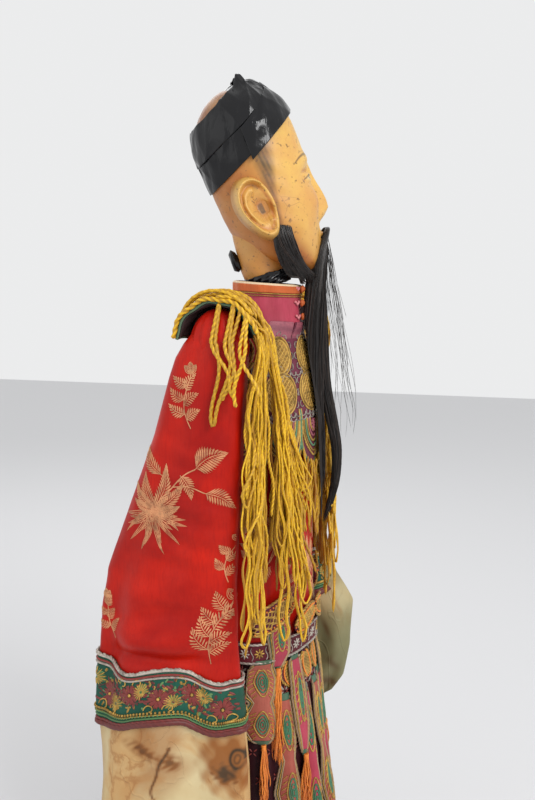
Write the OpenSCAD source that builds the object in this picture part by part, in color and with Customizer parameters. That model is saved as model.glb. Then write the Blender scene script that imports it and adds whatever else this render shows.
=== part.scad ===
// Costumed rod puppet, an elder of the opera stage, standing on its central rod.
// +Z up, the puppet faces -Y, its right hand is on the -X side.
// The origin is the centre of the rod's bottom end.

/* [Central rod] */
// Radius of the turned grip
grip_r = 9; // [7:0.5:9.5]
// Length of the turned grip
grip_len = 75; // [60:1:90]
// Radius of the rod above the grip
rod_r = 6; // [5:0.25:6]
// Height of the head's nodding pin
nod_z = 434; // [433:1:435]

/* [Head] */
// Head turned to the puppet's left, in degrees
head_yaw = 28; // [0:1:30]
// Head tipped back at rest, in degrees
head_tip = 22; // [15:1:24]
// Radius of the neck
neck_r = 14; // [12:0.5:14]
// Width of one turn of the wrapped cap
cap_band_w = 19; // [15:1:19]
// Length of the beard below the lip
beard_len = 182; // [120:1:190]

/* [Costume] */
// Height of the top of the standing collar
collar_z = 430; // [428:1:430]
// Outer radius of the standing collar
collar_r = 20.5; // [19.5:0.5:20.5]
// Height of the waist seam
waist_z = 204; // [195:1:210]
// Height of the front hem
hem_z = 70; // [60:1:80]
// Height of the lowest point of the cloud collar
yoke_z = 311; // [300:1:320]
// Cloth thickness of the padded garments
cloth_t = 2; // [1.5:0.25:2.5]

/* [Arms] */
// Half distance between the two arms
arm_x = 66; // [66:0.5:68]
// Distance from the shoulder pin to the elbow pin
upper_len = 82; // [78:1:86]
// Distance from the elbow pin to the wrist pin
fore_len = 82; // [78:1:84]
// Right upper arm, degrees back from plumb
back_right = 5; // [0:1:8]
// Right elbow flex at rest, in degrees
flex_right = 3; // [0:1:10]
// Left upper arm, degrees back from plumb
back_left = 4; // [0:1:8]
// Left elbow flex at rest, in degrees
flex_left = 17; // [12:1:20]

/* [Hidden] */
$fn = 48;

run = 0.05;          // radial running clearance of a turning fit
gap = 0.4;           // clearance between parts that only pass each other
RIGHT = -1;
LEFT = 1;

// heights on the rod
block_z = 330;
block_h = 58;
board_h = 10;
board_y = 4;
shoulder_z = 396;
pin_x = 54;

// head skin: [height w, middle u, half depth, half width], measured from the nod pin
// with w along the tipped axis and u towards the face
HEAD = [
    [-9, 29, 4, 6], [-5, 27, 8, 11], [-1, 24, 13, 16], [4, 21.5, 17, 20], [10, 19.5, 21.5, 22.5],
    [20, 18, 25.5, 25.5], [40, 17, 30, 27.5], [60, 17, 31, 28.5], [80, 17, 30.5, 28],
    [94, 16.5, 25.5, 23.5], [103, 16, 18, 17], [109, 15, 7, 7]
];
cap_slope = 27 / 62;
cap_w = 65.5;

// jacket outline: [height, middle y, half width, half depth]
JACKET = [
    [204, 3, 44, 29], [240, 2, 44, 28], [300, 1, 43, 27], [350, 1, 43, 26],
    [380, 2, 42, 24], [396, 3, 36, 22], [404, 1, 21.5, 21]
];
// skirt outline: [height, middle y, half width, half depth]
SKIRT = [
    [70, 32, 52, 76], [110, 25, 50, 65], [150, 15, 48, 50], [185, 6, 46, 36],
    [203, 3, 45, 30]
];
// sleeve outline in the straight arm's own frame:
// [distance below the shoulder, reach in front, reach behind, half width]
SLEEVE_R = [
    [-8, 9, 11, 11], [20, 12, 20, 13], [50, 14, 28, 13], [82, 18, 35, 13],
    [130, 21, 46, 12.5], [188, 24, 56, 12], [218, 24, 58, 12.5], [300, 22, 62, 13]
];
SLEEVE_L = [
    [-8, 9, 11, 11], [20, 16, 15, 13], [50, 25, 19, 13], [82, 26, 24, 13],
    [120, 18, 26, 13], [152, 13, 27, 13], [182, 13.5, 28, 13], [270, 18, 28, 13]
];
water_end = 300;
// left water sleeve below its cuff: [height, middle y, half width, half depth]
HUNG = [[142, -17, 11, 11], [155, -20, 12, 16], [180, -20, 13, 20], [203, -15, 13, 23]];
elbow_clear = 28.5;  // radius swept by the lower sleeve's front corner
cuff_right = [188, 218];
cuff_left = [152, 182];

// ---------- helpers ----------

// column c of a table at height h, straight between the rows
function col(table, h, c) = lookup(h, [for (row = table) [row[0], row[c]]]);

// one closed ring of n points
function ring(h, my, rx, ry, mx = 0, n = 24) =
    [for (i = [0:n - 1]) [mx + rx * cos(360 * i / n), my + ry * sin(360 * i / n), h]];

// ring of a garment table at height h, grown by g
function cloth_ring(table, h, g, n = 24) =
    ring(h, col(table, h, 1), col(table, h, 2) + g, col(table, h, 3) + g, 0, n);

// ring of a sleeve table at distance t below the shoulder, grown by g
function sleeve_ring(table, t, g, n = 24) =
    ring(-t, (col(table, t, 2) - col(table, t, 1)) / 2, col(table, t, 3) + g,
         (col(table, t, 2) + col(table, t, 1)) / 2 + g, 0, n);

// point of the head's skin grown by g, at height w and angle a from the face
function head_point(a, w, g) =
    let (u = col(HEAD, w, 1) + (col(HEAD, w, 2) + g) * cos(a))
    [(col(HEAD, w, 3) + g) * sin(a), -u, w];

// slanted ring round the head, as the turns of the cap lie
function cap_ring(w, g, n = 32) =
    [for (i = [0:n - 1]) let (a = 360 * i / n)
        head_point(a, w + cap_slope * 31 * cos(a), g)];

function quad(a, b, c, d) = [[a, b, c], [a, c, d]];

// heights between two ends, with every row of the table that lies between them
function levels(table, low, high) =
    concat([low], [for (row = table) if (row[0] > low + 0.5 && row[0] < high - 0.5) row[0]], [high]);
function front_y(table, x, z) =
    col(table, z, 1) - col(table, z, 3) * sqrt(1 - pow(x / col(table, z, 2), 2));

// solid through a stack of rings, lowest first
module loft(rings) {
    n = len(rings[0]);
    top = len(rings) - 1;
    points = [for (r = rings) each r];
    sides = [for (k = [0:top - 1], i = [0:n - 1]) let (j = (i + 1) % n)
        each quad(k * n + i, (k + 1) * n + i, (k + 1) * n + j, k * n + j)];
    polyhedron(points, concat(sides, [[for (i = [0:n - 1]) i]],
                              [[for (i = [n - 1:-1:0]) top * n + i]]));
}

// open tube between an outer and an inner stack of rings
module tube(outer, inner) {
    n = len(outer[0]);
    top = len(outer) - 1;
    m = n * (top + 1);
    points = concat([for (r = outer) each r], [for (r = inner) each r]);
    walls = [for (k = [0:top - 1], i = [0:n - 1]) let (j = (i + 1) % n) each concat(
        quad(k * n + i, (k + 1) * n + i, (k + 1) * n + j, k * n + j),
        quad(m + k * n + i, m + k * n + j, m + (k + 1) * n + j, m + (k + 1) * n + i))];
    rims = [for (i = [0:n - 1]) let (j = (i + 1) % n) each concat(
        quad(i, j, m + j, m + i),
        quad(top * n + j, top * n + i, m + top * n + i, m + top * n + j))];
    polyhedron(points, concat(walls, rims));
}

// tube of a garment table between two heights, from inner growth g to g + t
module garment(table, low, high, g, t) {
    hs = levels(table, low, high);
    tube([for (h = hs) cloth_ring(table, h, g + t)], [for (h = hs) cloth_ring(table, h, g)]);
}

// tube of a sleeve table between two distances below the shoulder
module sleeve_tube(table, upper, lower, g, t) {
    rows = levels(table, upper, lower);
    ts = [for (i = [len(rows) - 1:-1:0]) rows[i]];
    tube([for (s = ts) sleeve_ring(table, s, g + t)], [for (s = ts) sleeve_ring(table, s, g)]);
}

// from the nod pin's frame to the row frame
module head_place() {
    translate([0, 0, nod_z]) rotate([0, 0, head_yaw]) rotate([-head_tip, 0, 0]) children();
}

// point p of a straight arm's forearm, in the row frame
function turn_x(p, a) = [p[0], p[1] * cos(a) - p[2] * sin(a), p[1] * sin(a) + p[2] * cos(a)];
function arm_world(side, p) =
    let (q = turn_x(p + [0, 0, upper_len], -flex_of(side)))
    turn_x(q - [0, 0, upper_len], swing_of(side)) + [side * arm_x, board_y, shoulder_z];

function swing_of(side) = side == RIGHT ? back_right : back_left;
function flex_of(side) = side == RIGHT ? flex_right : flex_left;
function sleeve_of(side) = side == RIGHT ? SLEEVE_R : SLEEVE_L;
function cuff_of(side) = side == RIGHT ? cuff_right : cuff_left;

// the straight arm's frame at the shoulder, and the forearm's share of it
module upper_place(side) {
    translate([side * arm_x, board_y, shoulder_z]) rotate([swing_of(side), 0, 0]) children();
}
module fore_place(side) {
    upper_place(side) translate([0, 0, -upper_len]) rotate([-flex_of(side), 0, 0])
        translate([0, 0, upper_len]) children();
}
// frame of the arm rod, which hangs plumb from the fist
rod_drop = 20;
module rod_place(side) {
    fore_place(side) translate([0, 0, -upper_len - fore_len - rod_drop])
        rotate([flex_of(side) - swing_of(side), 0, 0]) children();
}
module along_x(r, length, x0) {
    translate([x0, 0, 0]) rotate([0, 90, 0]) cylinder(r = r, h = length);
}

// ---------- central rod ----------

module main_rod() {
    color("burlywood") difference() {
        union() {
            cylinder(r = grip_r, h = grip_len);
            cylinder(r = rod_r, h = nod_z - 12);
            rotate([0, 0, head_yaw]) translate([-2.5, -4, nod_z - 12]) cube([5, 8, 17]);
        }
        translate([0, 0, nod_z]) rotate([0, 0, head_yaw]) along_x(2 + run, 30, -15);
        translate([0, 0, block_z - 8]) along_x(1.5, 40, -20);
    }
}
module stop_collar() {
    color("peru") difference() {
        translate([0, 0, block_z - 14]) cylinder(r = 13, h = 11.8);
        translate([0, 0, block_z - 20]) cylinder(r = rod_r, h = 30);
        translate([0, 0, block_z - 8]) along_x(1.5, 40, -20);
    }
}
module stop_pin() {
    color("silver") translate([0, 0, block_z - 8]) along_x(1.5, 30, -15);
}
module bearing_washer() {
    color("saddlebrown") translate([0, 0, block_z - 2.2]) difference() {
        cylinder(r = 12, h = 2);
        translate([0, 0, -1]) cylinder(r = rod_r, h = 4);
    }
}
module retaining_ring() {
    color("goldenrod") translate([0, 0, block_z + block_h + board_h + 0.3]) difference() {
        cylinder(r = 8.2, h = 3);
        translate([0, 0, -1]) cylinder(r = rod_r, h = 5);
    }
}

// ---------- head ----------

module head() {
    color("sandybrown") head_place() difference() {
        union() {
            loft([for (row = HEAD) ring(row[0], -row[1], row[3], row[2], 0, 32)]);
            cylinder(r = neck_r, h = 34);
            along_x(8, 2 * neck_r - 4, 2 - neck_r);
            for (s = [RIGHT, LEFT]) ear(s);
        }
        // slot for the rod's tongue, wide enough for the whole nod
        translate([-2.8, -9, -20]) cube([5.6, 18, 29]);
        along_x(2 + run, 60, -30);
    }
}
// carved ear, a flat shell leaning out from the skull
module ear(side) {
    translate([side * 27, -8, 38]) rotate([0, side * 14, 0]) rotate([-8, 0, 0]) hull() {
        translate([0, 0, 8]) along_x(10, 5, -2.5, $fn = 32);
        translate([0, -2, -11]) along_x(6, 5, -2.5, $fn = 32);
    }
}
module head_pin() {
    color("silver") head_place() along_x(2, 2 * neck_r - 5, 2.5 - neck_r);
}
module neck_tape() {
    color([0.08, 0.08, 0.08]) head_place() translate([0, 0, 3]) difference() {
        cylinder(r = neck_r + 1.6, h = 6);
        translate([0, 0, -1]) cylinder(r = neck_r + 0.05, h = 8);
        translate([-20, -40, -1]) cube([40, 44, 12]);
    }
}
module neck_tab() {
    color([0.08, 0.08, 0.08]) head_place() translate([-3, neck_r + 0.2, 9.2]) cube([6, 4, 12]);
}
module cap_wall(low, high, g, t, steps) {
    levels = [for (i = [0:steps]) low + (high - low) * i / steps];
    tube([for (w = levels) cap_ring(w, g + t)], [for (w = levels) cap_ring(w, g)]);
}
module cap_band_lower() {
    color([0.08, 0.08, 0.08]) head_place() cap_wall(cap_w, cap_w + cap_band_w, 0.7, 1.3, 4);
}
module cap_band_upper() {
    color([0.1, 0.1, 0.1]) head_place()
        cap_wall(cap_w + cap_band_w + 0.1, cap_w + 1.6 * cap_band_w, 1.2, 1.2, 3);
}
module cap_peak() {
    color([0.12, 0.12, 0.12]) head_place() translate([0, -27, 113.5]) rotate([-20, 0, 0]) hull() {
        translate([-9, -9, 0]) cube([18, 20, 0.8]);
        translate([-3, -1, 5]) cube([6, 2, 0.8]);
    }
}
module hair_tufts() {
    color([0.05, 0.04, 0.04]) head_place() for (s = [RIGHT, LEFT]) hull() {
        translate([s * 29.4, -24, 19]) sphere(r = 2, $fn = 24);
        translate([s * 25, -36, 1]) sphere(r = 3, $fn = 24);
    }
}

// lip point, where the beard hangs from
lip_u = 40;
lip_w = 12;
function head_world(u, w) =
    let (f = u * cos(head_tip) - w * sin(head_tip))
    [f * sin(head_yaw), -f * cos(head_yaw), nod_z + u * sin(head_tip) + w * cos(head_tip)];
lip = head_world(lip_u + 4.5, lip_w);

module beard_locks() {
    // [drop below the lip, reach forward of the lip, half width, half depth]
    shape = [[-1.2, 0, 10, 1.2], [1.2, 0, 10, 1.2], [14, 3.5, 12, 4], [50, 4.5, 10, 5],
             [100, 7, 8, 5], [150, 6.5, 6, 4], [beard_len, 3, 2.5, 2]];
    color([0.05, 0.04, 0.04]) translate([lip[0], lip[1], lip[2]]) rotate([0, 0, head_yaw])
        union() {
            loft([for (i = [len(shape) - 1:-1:0]) let (s = shape[i])
                ring(-s[0], -s[1], s[2], s[3], 0, 16)]);
            // wire that the locks are tied to, the hinge of the beard
            along_x(1.2, 24, -12);
        }
}

// ---------- torso frame ----------

module torso_block() {
    color("tan") difference() {
        translate([0, board_y, block_z]) linear_extrude(block_h) {
            square([30, 30], center = true);
            for (x = [-15, 15]) translate([x, 0]) circle(r = 15);
        }
        translate([0, 0, block_z - 1]) cylinder(r = rod_r + run, h = block_h + 2);
    }
}
module shoulder_board() {
    color("burlywood") difference() {
        union() {
            translate([-50, board_y - 11, shoulder_z - 8]) cube([100, 22, board_h]);
            for (s = [RIGHT, LEFT])
                translate([s * pin_x, board_y + 11, shoulder_z]) rotate([90, 0, 0])
                    cylinder(r = 5.5, h = 22);
        }
        for (s = [RIGHT, LEFT]) {
            translate([s * (pin_x + 3) - 11, board_y - 5, shoulder_z - 20]) cube([22, 10, 40]);
            translate([s * pin_x, board_y + 20, shoulder_z]) rotate([90, 0, 0])
                cylinder(r = 1.5, h = 40);
        }
        translate([0, 0, shoulder_z - 20]) cylinder(r = rod_r + run, h = 40);
    }
}
module shoulder_pins() {
    color("silver") for (s = [RIGHT, LEFT])
        translate([s * pin_x, board_y + 11.5, shoulder_z]) rotate([90, 0, 0])
            cylinder(r = 1.5, h = 23);
}

// ---------- garments on the torso ----------

module jacket() {
    color("firebrick") difference() {
        garment(JACKET, waist_z, 403, -cloth_t, cloth_t);
        // armholes
        for (s = [RIGHT, LEFT])
            translate([s * 44 - 22, board_y - 15, shoulder_z - 16]) cube([44, 30, 40]);
    }
}
module standing_collar() {
    color("hotpink") difference() {
        translate([0, 0, 404.1]) cylinder(r = collar_r, h = collar_z - 406);
        translate([0, 0, 400]) cylinder(r = collar_r - 2.5, h = 40);
    }
}
module collar_piping() {
    color("orange") {
        translate([0, 0, collar_z - 0.65]) rotate_extrude() translate([collar_r - 1.2, 0])
            circle(r = 1.2, $fn = 24);
        translate([0, 0, 423]) difference() {
            cylinder(r = collar_r + 0.9, h = 4);
            translate([0, 0, -1]) cylinder(r = collar_r + 0.05, h = 7);
        }
    }
}
module collar_knots() {
    color("coral") for (z = [409, 418])
        translate([0, -collar_r - 0.1, z]) rotate([90, 0, 0]) cylinder(r = 2.6, h = 2.6);
}

// cloud collar: front and back petals laid over the jacket
module petal_outline(g) {
    translate([0, yoke_z + 24]) circle(r = 24 + g);
    for (s = [RIGHT, LEFT]) {
        translate([s * 19, yoke_z + 37]) circle(r = 19 + g);
        translate([s * 15, yoke_z + 66]) circle(r = 20 + g);
    }
    translate([-21 - g, yoke_z + 30]) square([42 + 2 * g, 66]);
}
module through_y(low, high) {
    translate([0, high, 0]) rotate([90, 0, 0]) linear_extrude(high - low) children();
}
yoke_gap = 0.5;
yoke_t = 2;
module cloud_collar() {
    color("goldenrod") intersection() {
        garment(JACKET, yoke_z, 403, yoke_gap, yoke_t);
        through_y(-60, 60) petal_outline(-2.5);
    }
}
module cloud_collar_piping() {
    color("seagreen") intersection() {
        garment(JACKET, yoke_z, 386, yoke_gap, yoke_t + 0.8);
        through_y(-60, 60) difference() {
            petal_outline(0);
            petal_outline(-2.4);
        }
    }
}
module yoke_fringe() {
    color("gold") intersection() {
        garment(JACKET, 268, yoke_z + 26, yoke_gap, yoke_t);
        through_y(-60, 60) difference() {
            translate([-34, 268]) square([68, 78]);
            petal_outline(0.3);
        }
    }
}
// thick cord fringe over the right and left front of the chest
module side_fringe() {
    color("gold") difference() {
        garment(JACKET, 216, 386, 3.8, 4.5);
        translate([-60, -11, 200]) cube([120, 80, 220]);
        translate([-19, -60, 200]) cube([38, 80, 220]);
    }
}
module waist_belt() {
    color("darkred") garment(JACKET, waist_z + 1, waist_z + 11, 0.5, 2.4);
}
// places its child on the front of the skirt, hanging from a height, leaning with the cloth
module on_skirt(x, top, drop, off) {
    y1 = front_y(SKIRT, x, top);
    y2 = front_y(SKIRT, x, top - drop);
    turn = atan((front_y(SKIRT, x + 1, top - drop / 2) - front_y(SKIRT, x - 1, top - drop / 2)) / 2);
    translate([x, y1, top]) rotate([0, 0, turn])
        rotate([90 - atan((y1 - y2) / drop * cos(turn)), 0, 0]) translate([0, 0, off]) children();
}
module belt_lobes() {
    color("darkgoldenrod") for (x = [-24, -8, 8, 24])
        on_skirt(x, 201, 18, 1.2) {
            translate([0, -9]) cylinder(r = 7.5, h = 1.6);
            translate([-7.5, -9, 0]) cube([15, 8, 1.6]);
        }
}
module leaf(length, width, t) {
    linear_extrude(t) {
        translate([0, -width / 2]) circle(r = width / 2);
        translate([-width / 2, -length + width / 2]) square([width, length - width]);
        translate([0, -length + width / 2]) circle(r = width / 2);
    }
}
STREAMERS = [[-30, 84], [-15, 100], [0, 92], [15, 102], [30, 88]];
module streamers() {
    color("lightpink") for (s = STREAMERS) on_skirt(s[0], 181, s[1], 1.4) leaf(s[1], 12, 2);
}
module tassels() {
    color("darkorange") for (s = STREAMERS) on_skirt(s[0], 181, s[1], 6.3)
        translate([0, -s[1] + 3, 0]) rotate([90, 0, 0]) cylinder(r = 2.6, h = 14);
}
module skirt_half(front) {
    difference() {
        garment(SKIRT, hem_z, waist_z - 1, -cloth_t, cloth_t);
        translate([-80, front ? 3.3 : -200 + 3.7, hem_z - 10]) cube([160, 200, 160]);
    }
}
module skirt_front() {
    color("crimson") skirt_half(true);
}
module skirt_back() {
    color("maroon") skirt_half(false);
}

// ---------- arms ----------

module shoulder_knuckle(side) {
    color("burlywood") translate([side * pin_x, board_y, shoulder_z]) difference() {
        union() {
            rotate([90, 0, 0]) cylinder(r = 4.8, h = 9.2, center = true);
            translate([side > 0 ? 0 : -7, -4.6, -4.8]) cube([7, 9.2, 9.6]);
        }
        rotate([90, 0, 0]) cylinder(r = 1.5 + run, h = 20, center = true);
        along_x(2.5, 20, side > 0 ? 3 : -23);
    }
}
module shoulder_peg(side) {
    color("goldenrod") translate([side * pin_x, board_y, shoulder_z]) mirror([side < 0 ? 1 : 0, 0, 0]) {
        along_x(2.5, 15, 3);
        along_x(4.2, 2, 18);
    }
}
module epaulette(side) {
    // arched shoulder piece over the sleeve's head, open below
    color("darkseagreen") translate([side * arm_x, board_y + 2, shoulder_z]) difference() {
        union() {
            rotate([0, 90, 0]) cylinder(r = 23, h = 18, center = true);
            for (x = [-8.5, 8.5]) translate([x, 0, 0]) rotate([0, 90, 0])
                rotate_extrude() translate([23, 0]) circle(r = 1.5, $fn = 20);
        }
        rotate([0, 90, 0]) cylinder(r = 20.5, h = 40, center = true);
        translate([-40, -40, -60]) cube([80, 80, 66]);
    }
}
module upper_arm(side) {
    color("burlywood") upper_place(side) difference() {
        union() {
            along_x(7, 7, -3.5);
            translate([0, 0, -upper_len + 9]) cylinder(r = 4.5, h = upper_len - 13);
            translate([-2.4, -5, -upper_len]) cube([4.8, 10, 12]);
            translate([0, 0, -upper_len]) along_x(5, 4.8, -2.4);
        }
        along_x(2.5 + run, 20, -10);
        translate([0, 0, -upper_len]) along_x(1.5 + run, 20, -10);
    }
}
module sleeve_upper(side) {
    t = sleeve_of(side);
    color("red") upper_place(side) difference() {
        sleeve_tube(t, 17, upper_len - 0.6, -1.6, 1.6);
        translate([0, 0, -upper_len]) along_x(elbow_clear, 60, -30);
    }
}
module elbow_pin(side) {
    color("silver") upper_place(side) translate([0, 0, -upper_len]) along_x(1.5, 13, -6.5);
}
module forearm(side) {
    color("burlywood") fore_place(side) difference() {
        union() {
            translate([0, 0, -upper_len]) along_x(5, 13, -6.5);
            translate([0, 0, -upper_len - fore_len + 9]) cylinder(r = 4.5, h = fore_len - 12);
            translate([-2.4, -4, -upper_len - fore_len]) cube([4.8, 8, 12]);
            translate([0, 0, -upper_len - fore_len]) along_x(4, 4.8, -2.4);
        }
        translate([-2.7, -10, -upper_len - 6.5]) cube([5.4, 20, 40]);
        translate([0, 0, -upper_len]) along_x(1.52, 20, -10);
        translate([0, 0, -upper_len - fore_len]) along_x(1.5 + run, 20, -10);
    }
}
module sleeve_lower(side) {
    t = sleeve_of(side);
    color("red") fore_place(side) sleeve_tube(t, upper_len + 0.2, cuff_of(side)[0], -1.6, 1.6);
}
module cuff_band(side) {
    t = sleeve_of(side);
    c = cuff_of(side);
    color("seagreen") fore_place(side) {
        sleeve_tube(t, c[0] + 0.2, c[1], -1.6, 2);
        for (s = [c[0] + 1.5, c[1] - 1.5]) sleeve_tube(t, s - 1, s + 1, 0.5, 1.4);
    }
}
// the right water sleeve runs on along the arm
module water_sleeve_long(side) {
    t = sleeve_of(side);
    c = cuff_of(side);
    color("wheat") fore_place(side) sleeve_tube(t, c[1] + 0.2, water_end, -1.4, 1.4);
}
// the left one bulges forward and hangs plumb from its tilted cuff
module water_sleeve_plumb(side) {
    c = cuff_of(side);
    function mouth(g) = [for (p = sleeve_ring(sleeve_of(side), c[1] + 0.3, g)) arm_world(side, p)];
    function hung(g) = [for (row = HUNG) ring(row[0], row[1], row[2] + g, row[3] + g, side * arm_x)];
    color("wheat") tube(concat(hung(0), [mouth(0)]), concat(hung(-1.4), [mouth(-1.4)]));
}
module wrist_pin(side) {
    color("silver") fore_place(side) translate([0, 0, -upper_len - fore_len])
        along_x(1.5, 12, -6);
}
module hand(side) {
    color("sandybrown") fore_place(side) translate([0, 0, -upper_len - fore_len]) difference() {
        union() {
            along_x(4.6, 12, -6);
            translate([-4.5, -5.6, -15]) cube([9, 12, 14]);
            // curled fingers of the fist and the thumb across them
            for (k = [0:3]) translate([side * -4.2, -4 + 3 * k, -13.2]) sphere(r = 1.8, $fn = 20);
            translate([side * 3.4, -4.5, -10]) cylinder(r = 1.9, h = 7, $fn = 20);
            translate([-4.5, -3.2, -rod_drop]) cube([9, 6.4, rod_drop - 8]);
            translate([0, 0, -rod_drop]) along_x(3.2, 9, -4.5);
        }
        translate([-2.7, -15, -7]) cube([5.4, 30, 20]);
        along_x(1.52, 20, -10);
        // slot and holes for the arm rod's eye
        translate([-2.2, -20, -rod_drop - 6]) cube([4.4, 40, 9.8]);
        translate([0, 0, -rod_drop]) along_x(1.2 + run, 20, -10);
    }
}
module arm_rod(side) {
    rod_len = 166;
    color("dimgray") rod_place(side) {
        along_x(3, 3.6, -1.8);
        along_x(1.2, 8.6, -4.3);
        translate([0, 0, -rod_len]) cylinder(r = 1.6, h = rod_len - 1);
    }
}
module rod_grip(side) {
    rod_len = 166;
    color("peru") rod_place(side) translate([0, 0, -rod_len - 6]) difference() {
        cylinder(r = 4, h = 44);
        translate([0, 0, 6]) cylinder(r = 1.6, h = 60);
    }
}

main_rod();
stop_collar();
stop_pin();
bearing_washer();
retaining_ring();
head();
head_pin();
neck_tape();
neck_tab();
cap_band_lower();
cap_band_upper();
cap_peak();
hair_tufts();
beard_locks();
torso_block();
shoulder_board();
shoulder_pins();
jacket();
standing_collar();
collar_piping();
collar_knots();
cloud_collar();
cloud_collar_piping();
yoke_fringe();
side_fringe();
waist_belt();
belt_lobes();
streamers();
tassels();
skirt_front();
skirt_back();
shoulder_knuckle(RIGHT);  // shoulder_knuckle_right
shoulder_peg(RIGHT);  // shoulder_peg_right
epaulette(RIGHT);  // epaulette_right
upper_arm(RIGHT);  // upper_arm_right
sleeve_upper(RIGHT);  // sleeve_upper_right
elbow_pin(RIGHT);  // elbow_pin_right
forearm(RIGHT);  // forearm_right
sleeve_lower(RIGHT);  // sleeve_lower_right
cuff_band(RIGHT);  // cuff_band_right
water_sleeve_long(RIGHT);  // water_sleeve_right
wrist_pin(RIGHT);  // wrist_pin_right
hand(RIGHT);  // hand_right
arm_rod(RIGHT);  // arm_rod_right
rod_grip(RIGHT);  // rod_grip_right
shoulder_knuckle(LEFT);  // shoulder_knuckle_left
shoulder_peg(LEFT);  // shoulder_peg_left
epaulette(LEFT);  // epaulette_left
upper_arm(LEFT);  // upper_arm_left
sleeve_upper(LEFT);  // sleeve_upper_left
elbow_pin(LEFT);  // elbow_pin_left
forearm(LEFT);  // forearm_left
sleeve_lower(LEFT);  // sleeve_lower_left
cuff_band(LEFT);  // cuff_band_left
water_sleeve_plumb(LEFT);  // water_sleeve_left
wrist_pin(LEFT);  // wrist_pin_left
hand(LEFT);  // hand_left
arm_rod(LEFT);  // arm_rod_left
rod_grip(LEFT);  // rod_grip_left
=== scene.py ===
"""Looks of the costumed rod puppet: carved head, taped cap, real hair and an embroidered silk costume.

Lengths are written in millimetres in the row frame and turned into metres when a mesh is made.
The puppet faces -Y, its right hand is on the -X side, +Z is up along the rod.
"""

import math

import bpy
import numpy as np
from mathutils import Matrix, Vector


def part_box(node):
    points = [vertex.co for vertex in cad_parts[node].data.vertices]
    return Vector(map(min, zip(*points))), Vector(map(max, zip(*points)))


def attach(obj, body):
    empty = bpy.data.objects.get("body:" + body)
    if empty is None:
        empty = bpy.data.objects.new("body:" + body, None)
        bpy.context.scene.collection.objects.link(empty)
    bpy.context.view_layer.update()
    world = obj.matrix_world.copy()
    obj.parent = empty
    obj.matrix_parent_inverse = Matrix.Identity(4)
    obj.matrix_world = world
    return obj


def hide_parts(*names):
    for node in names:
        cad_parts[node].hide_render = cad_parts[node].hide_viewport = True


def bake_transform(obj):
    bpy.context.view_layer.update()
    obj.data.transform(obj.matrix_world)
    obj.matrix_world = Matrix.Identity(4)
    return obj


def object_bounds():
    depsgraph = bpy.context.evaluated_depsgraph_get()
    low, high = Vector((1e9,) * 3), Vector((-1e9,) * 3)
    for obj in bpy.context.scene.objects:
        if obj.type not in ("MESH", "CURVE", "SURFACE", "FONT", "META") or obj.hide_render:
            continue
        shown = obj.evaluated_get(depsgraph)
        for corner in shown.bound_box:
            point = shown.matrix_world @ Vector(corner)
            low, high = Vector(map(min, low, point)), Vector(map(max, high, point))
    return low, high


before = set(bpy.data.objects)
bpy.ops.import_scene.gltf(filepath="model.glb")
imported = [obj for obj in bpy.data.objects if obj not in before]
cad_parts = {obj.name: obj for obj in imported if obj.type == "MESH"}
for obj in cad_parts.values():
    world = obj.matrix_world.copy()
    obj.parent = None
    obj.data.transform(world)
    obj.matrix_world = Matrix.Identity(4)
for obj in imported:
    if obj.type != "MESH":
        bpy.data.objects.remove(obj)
CAD_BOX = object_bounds()

MM = 0.001
TAU = 2 * math.pi
rng = np.random.default_rng(20)


def node_box(name):
    """Lowest and highest corner of a CAD node, in millimetres."""
    low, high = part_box(name)
    return np.array(low) / MM, np.array(high) / MM


# ---------------------------------------------------------------- camera, floor and light

CAMERA_DISTANCE = 558      # from the rod's axis
CAMERA_AZIMUTH = -72       # towards the puppet's right side
CAMERA_PITCH = -7.28
LENS = 40.5
COLLAR_TOP = node_box("standing_collar")[1][2]


def make_camera():
    a = math.radians(CAMERA_AZIMUTH)
    data = bpy.data.cameras.new("camera")
    data.lens = LENS
    data.sensor_width = 36
    data.clip_start = 0.01
    camera = bpy.data.objects.new("camera", data)
    bpy.context.scene.collection.objects.link(camera)
    camera.location = (math.sin(a) * CAMERA_DISTANCE * MM, -math.cos(a) * CAMERA_DISTANCE * MM,
                       COLLAR_TOP * MM)
    camera.rotation_euler = (math.radians(90 + CAMERA_PITCH), 0, a)
    bpy.context.scene.camera = camera


def make_stage():
    mesh = bpy.data.meshes.new("floor")
    half, z = 3.0, CAD_BOX[0][2]
    mesh.from_pydata([(-half, -half, z), (half, -half, z), (half, half, z), (-half, half, z)], [],
                     [(0, 1, 2, 3)])
    floor = bpy.data.objects.new("floor", mesh)
    bpy.context.scene.collection.objects.link(floor)
    paint = bpy.data.materials.new("pale_floor")
    paint.use_nodes = True
    shader = paint.node_tree.nodes["Principled BSDF"]
    shader.inputs["Base Color"].default_value = (0.66, 0.66, 0.67, 1)
    shader.inputs["Roughness"].default_value = 0.75
    mesh.materials.append(paint)

    world = bpy.data.worlds.new("studio")
    world.use_nodes = True
    world.node_tree.nodes["Background"].inputs["Color"].default_value = (0.97, 0.975, 0.98, 1)
    world.node_tree.nodes["Background"].inputs["Strength"].default_value = 0.86
    bpy.context.scene.world = world

    lamps = [("key", (-0.9, -1.25, 1.35), 0.7, 19), ("fill", (-1.3, 0.9, 0.7), 1.4, 3),
             ("rim", (0.9, 0.7, 1.2), 0.7, 3.5)]
    for name, place, size, power in lamps:
        data = bpy.data.lights.new(name, "AREA")
        data.energy = power
        data.size = size
        lamp = bpy.data.objects.new(name, data)
        lamp.location = place
        aim = Vector((0, 0, 0.33)) - Vector(place)
        lamp.rotation_euler = aim.to_track_quat("-Z", "Y").to_euler()
        bpy.context.scene.collection.objects.link(lamp)


make_camera()
make_stage()
bpy.context.scene.view_settings.view_transform = "Standard"

# ---------------------------------------------------------------- materials


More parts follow.
